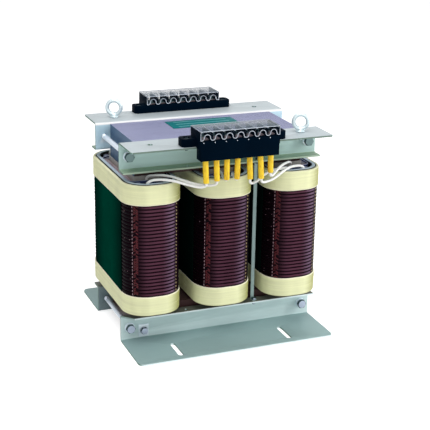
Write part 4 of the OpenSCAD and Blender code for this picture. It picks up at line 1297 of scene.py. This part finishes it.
class TRANSFORMER_OT_fasteners(bpy.types.Operator):
    """Turn the tie bolts, nuts and washers, and finish the small screws"""
    bl_idname = "transformer.fasteners"
    bl_label = "Fasteners"

    def execute(self, context):
        for material, nodes in (
                ("washer_zinc", ("flat_washers", "earth_plate")),
                (None, ("lifting_eye_nuts", "block_screws", "block_nuts", "strap_screws",
                        "strap_nuts", "earth_bolt")),
                ("strap_zinc", ("bonding_strap",))):
            for node in nodes:
                finished_copy(node, props().metal.small_edge, material)
        self.turn_ties()
        return {"FINISHED"}

    def turn_ties(self):
        """Heads, threaded rods, nuts and coiled spring washers of the four tie bolts."""
        metal = props().metal
        low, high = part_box("tie_bolts")
        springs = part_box("spring_washers")
        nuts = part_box("tie_nuts")
        heads, rods, ends, rings = (bmesh.new() for _ in range(4))
        across = metal.tie_across
        bore = metal.tie_diameter + 0.4 * MM
        wire, climb = 0.72, 0.28
        reach = (high.x - low.x - across / math.cos(math.pi / 6)) / 2
        head = springs[0].y
        thick = springs[1].y - head
        for x in (-reach, reach):
            for z in (low.z + across / 2, high.z - across / 2):
                hexagon(heads, across, head - low.y, frontwards(x, head, z))
                rearwards = Matrix.Translation((x, head, z)) @ Matrix.Rotation(-math.pi / 2, 4, "X")
                threaded_rod(rods, metal.tie_diameter / 2, high.y - head, metal.tie_thread,
                             rearwards)
                hexagon(ends, across, nuts[1].y - nuts[0].y, frontwards(x, nuts[1].y, z),
                        metal.tie_diameter)
                split_ring(rings, 2 * (springs[1].x - reach), bore, thick * wire, thick * climb,
                           metal.spring_cut, frontwards(x, springs[1].y, z))
        for bm, name, node, material in (
                (heads, "tie_bolt_heads", "tie_bolts", "bright_zinc"),
                (rods, "tie_bolt_rods", "tie_bolts", "rod_zinc"),
                (ends, "tie_nuts_turned", "tie_nuts", "bright_zinc"),
                (rings, "spring_washers_coiled", "spring_washers", "washer_zinc")):
            place(shade(solid_object(name, bm), 28.0), node, material=material)


class TRANSFORMER_OT_lifting_eyes(bpy.types.Operator):
    """Forge the lifting eyes with soft fillets"""
    bl_idname = "transformer.lifting_eyes"
    bl_label = "Lifting eyes"

    def execute(self, context):
        for side in SIDES:
            node = f"{side}_lifting_eye"
            obj = merged_copy(f"{node}_forging", node)
            remesh = obj.modifiers.new("remesh", "REMESH")
            remesh.mode = "VOXEL"
            remesh.voxel_size = 0.55 * MM
            smooth = obj.modifiers.new("smooth", "SMOOTH")
            smooth.iterations = 6
            apply_modifiers(obj).data.shade_smooth()
            place(obj, node, material="eye_zinc")
        return {"FINISHED"}


class TRANSFORMER_OT_terminal_blocks(bpy.types.Operator):
    """Finish the terminal blocks with their covers, bars and screws"""
    bl_idname = "transformer.terminal_blocks"
    bl_label = "Terminal blocks"

    def execute(self, context):
        edge = props().block.mould_edge
        edges = {"base": edge, "cover": edge * 0.8, "bars": 0.15 * MM, "screws": 0.25 * MM}
        for side in SIDES:
            for piece, width in edges.items():
                finished_copy(f"{side}_terminal_{piece}", width)
        return {"FINISHED"}


class TRANSFORMER_OT_cover_details(bpy.types.Operator):
    """Add the covers' rims, which are painted highlights, their ribs and the bases' pips"""
    bl_idname = "transformer.cover_details"
    bl_label = "Cover rims, ribs and pips"

    def execute(self, context):
        block = props().block
        plate_wall, rib_edge = 1.6 * MM, 0.2 * MM
        low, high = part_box("front_terminal_cover")
        reach = high.x - block.rim
        face, back, top = low.y + block.rim, high.y - block.rim, high.z - block.rim
        skirt, inner = ([Vector((x, y, z)) for x, z in self.wave(reach) + [(reach, top), (-reach, top)]]
                        for y in (face, back))
        plate = [Vector((x, y, top)) for x, y in ((-reach, back), (reach, back), (reach, face),
                                                  (-reach, face))]
        for side, sign in zip(SIDES, (1, -1)):
            self.inner_skirt(side, sign, inner, high.y)
            for name, path in (("skirt", skirt), ("plate", plate), ("inner_skirt", inner)):
                points = [Vector((sign * p.x, sign * p.y, p.z)) for p in path]
                rim = tube(f"{side}_cover_{name}_rim", points, block.rim, 8, True)
                place(rim, slot="clear_cover", material="cover_rim")
        rib = rounded_bar((block.rib, back - face - 4 * block.rim, block.rib * 0.8), rib_edge)
        repeat("cover_ribs", rib, "cover_rim", "clear_cover", Size_X=block.poles * block.pole_pitch,
               Count_X=block.poles + 1,
               Centre=Vector((0, (face + back) / 2, high.z - plate_wall - block.rib * 0.4)))
        base_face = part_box("front_terminal_base")[0].y
        pip = pebble((block.pip, block.pip * 0.5, block.pip * 1.2))
        repeat("base_pips", pip, "cover_rim", "block_black",
               Size_X=(block.poles - 1) * block.pole_pitch, Count_X=block.poles,
               Centre=Vector((-block.pip_step, base_face, block.pip_height)))
        return {"FINISHED"}

    def inner_skirt(self, side, sign, outline, face):
        """A thin clear sheet with the wave as its lower edge, behind the cover's inner face."""
        play = 0.1 * MM
        bm = bmesh.new()
        stack_rings(bm, [[(sign * p.x, sign * (face - depth), p.z) for p in outline]
                         for depth in (play, props().block.cover_wall)])
        place(solid_object(f"{side}_cover_inner_sheet", bm), slot="clear_cover")

    def wave(self, reach):
        """The skirt's lower edge, moved up by the rim's radius: tongues and arches in turn."""
        block = props().block
        steps = 12
        radius = block.pole_pitch / 4
        points = []
        for k in range(block.poles + 1):
            pole = (k - (block.poles - 1) / 2) * block.pole_pitch
            arcs = [(pole - block.pole_pitch / 2, radius - block.rim, 1)]
            if k < block.poles:
                arcs.append((pole, radius + block.rim, -1))
            for middle, r, way in arcs:
                for j in range(steps):
                    turn = math.pi + way * math.pi * (j + 0.5) / steps
                    x = max(-reach, min(reach, middle + r * math.cos(turn)))
                    points.append((x, block.wave_height + r * math.sin(turn)))
        return points


# Routes of the front leads beyond their sleeves, with heights from the coils' top
SLEEVE_ENDS = (
    (-0.0475, -0.126, 0.004), (-0.0305, -0.126, 0.006), (-0.0145, -0.124, 0.006),
    (0.002, -0.124, 0.0055), (0.0225, -0.126, 0.004), (0.0405, -0.126, 0.003),
    (0.055, -0.126, 0.011))
LEAD_ROUTES = (
    ((-0.048, -0.125, -0.001), (-0.054, -0.121, -0.0035), (-0.064, -0.117, -0.002),
     (-0.078, -0.112, 0.002), (-0.09, -0.107, 0.0055), (-0.103, -0.101, 0.007),
     (-0.116, -0.097, 0.007), (-0.124, -0.095, 0.0045), (-0.1275, -0.093, 0),
     (-0.1285, -0.0926, -0.005), (-0.1285, -0.0926, -0.01)),
    ((-0.031, -0.1245, 0.0005), (-0.037, -0.12, -0.0025), (-0.048, -0.115, -0.0025),
     (-0.062, -0.109, 0), (-0.076, -0.1, 0.004), (-0.088, -0.089, 0.007),
     (-0.101, -0.081, 0.008), (-0.111, -0.075, 0.007), (-0.117, -0.07, 0.005),
     (-0.119, -0.0672, 0.0015), (-0.119, -0.067, -0.0016)),
    ((-0.0146, -0.1205, 0.004), (-0.014, -0.113, 0.004), (-0.0125, -0.104, 0.0052),
     (-0.011, -0.095, 0.0063), (-0.0103, -0.086, 0.007), (-0.01, -0.077, 0.0067),
     (-0.01, -0.0705, 0.0046), (-0.01, -0.0673, 0.0015), (-0.01, -0.067, -0.0016)),
    ((0.0022, -0.1205, 0.0038), (0.003, -0.113, 0.0044), (0.0045, -0.104, 0.0062),
     (0.0058, -0.0975, 0.0056), (0.0065, -0.0942, 0.002), (0.0067, -0.0934, -0.004),
     (0.0067, -0.0934, -0.01)),
    ((0.023, -0.1245, -0.0015), (0.028, -0.12, -0.0055), (0.038, -0.113, -0.006),
     (0.048, -0.107, -0.003), (0.058, -0.102, 0.001), (0.07, -0.099, 0.0045),
     (0.082, -0.0975, 0.0052), (0.092, -0.0962, 0.0054), (0.098, -0.0943, 0.0042),
     (0.1012, -0.0927, 0.0002), (0.1018, -0.0926, -0.005), (0.1018, -0.0926, -0.01)),
    ((0.042, -0.1245, -0.0025), (0.047, -0.121, -0.0055), (0.057, -0.116, -0.006),
     (0.068, -0.112, -0.004), (0.08, -0.108, 0.001), (0.092, -0.103, 0.0055),
     (0.104, -0.0985, 0.0073), (0.116, -0.0965, 0.007), (0.1235, -0.095, 0.0045),
     (0.1267, -0.0934, 0), (0.1273, -0.093, -0.005), (0.1273, -0.093, -0.01)),
    ((0.056, -0.1245, 0.006), (0.061, -0.12, 0.0035), (0.069, -0.113, 0.0055),
     (0.077, -0.106, 0.0085), (0.086, -0.099, 0.0108), (0.095, -0.092, 0.0112),
     (0.103, -0.0845, 0.0103), (0.11, -0.0775, 0.008), (0.1145, -0.0715, 0.0053),
     (0.116, -0.0676, 0.0018), (0.116, -0.067, -0.0016)))


class TRANSFORMER_OT_wiring(bpy.types.Operator):
    """Pull the white leads out of their yellow sleeves and into the coils"""
    bl_idname = "transformer.wiring"
    bl_label = "Sleeves and leads"

    def execute(self, context):
        diameter = props().block.lead
        for side, sign in zip(SIDES, (1, -1)):
            finished_copy(f"{side}_sleeves", props().metal.small_edge)
            for index in range(len(LEAD_ROUTES)):
                path = [Vector((sign * p.x, sign * p.y, p.z)) for p in self.route(index)]
                lead = tube(f"{side}_lead_{index + 1}", path, diameter / 2, 12)
                place(lead, f"{side}_leads")
        return {"FINISHED"}

    def route(self, index):
        """A front lead's path, from inside its straight sleeve to its coil."""
        block = props().block
        top_run, end_run = 20 * MM, 12 * MM
        pole = (index - (block.poles - 1) / 2) * block.pole_pitch
        lift = Vector((0, 0, block.coil_top))
        start = Vector((pole, -block.sleeve_y, block.sleeve_z))
        end = Vector(SLEEVE_ENDS[index]) + lift
        axis = (end - start).normalized()
        points = [start + block.lead_start * axis, start + top_run * axis, end - end_run * axis, end]
        return spline(points + [Vector(p) + lift for p in LEAD_ROUTES[index]], 6)


class TRANSFORMER_OT_label(bpy.types.Operator):
    """Finish the empty label plate with its ruled lines"""
    bl_idname = "transformer.label"
    bl_label = "Label plate"

    def execute(self, context):
        plate_edge, rule_edge, rule_height = 0.15 * MM, 0.02 * MM, 0.12 * MM
        finished_copy("label_plate", plate_edge)
        low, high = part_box("label_plate")
        size = high - low
        rule = rounded_bar((size.x * 0.8, size.y * 0.03, rule_height), rule_edge)
        repeat("label_rules", rule, "label_rule", "teal_label", Size_Y=size.y * 0.6, Count_Y=3,
               Rear=False, Centre=Vector(((low.x + high.x) / 2, (low.y + high.y) / 2, high.z)))
        return {"FINISHED"}


OPERATORS = (TRANSFORMER_OT_stage, TRANSFORMER_OT_core, TRANSFORMER_OT_clamps,
             TRANSFORMER_OT_windings, TRANSFORMER_OT_bend_marks, TRANSFORMER_OT_bands,
             TRANSFORMER_OT_insulation, TRANSFORMER_OT_fasteners, TRANSFORMER_OT_lifting_eyes,
             TRANSFORMER_OT_terminal_blocks, TRANSFORMER_OT_cover_details, TRANSFORMER_OT_wiring,
             TRANSFORMER_OT_label)


class TRANSFORMER_PT_panel(bpy.types.Panel):
    """Sidebar panel with one button for each group of pieces"""
    bl_label = "Transformer"
    bl_idname = "TRANSFORMER_PT_panel"
    bl_space_type = "VIEW_3D"
    bl_region_type = "UI"
    bl_category = "Transformer"

    def draw(self, context):
        for operator in OPERATORS:
            self.layout.operator(operator.bl_idname)


CLASSES = (TransformerWindingProps, TransformerMetalProps, TransformerBlockProps,
           TransformerStageProps, TransformerProps, *OPERATORS, TRANSFORMER_PT_panel)


def register():
    for cls in CLASSES:
        bpy.utils.register_class(cls)
    bpy.types.Scene.transformer = PointerProperty(type=TransformerProps)


def unregister():
    del bpy.types.Scene.transformer
    for cls in reversed(CLASSES):
        bpy.utils.unregister_class(cls)


def main():
    register()
    for operator in OPERATORS:
        getattr(bpy.ops.transformer, operator.bl_idname.split(".")[1])()


if __name__ == "__main__":
    main()
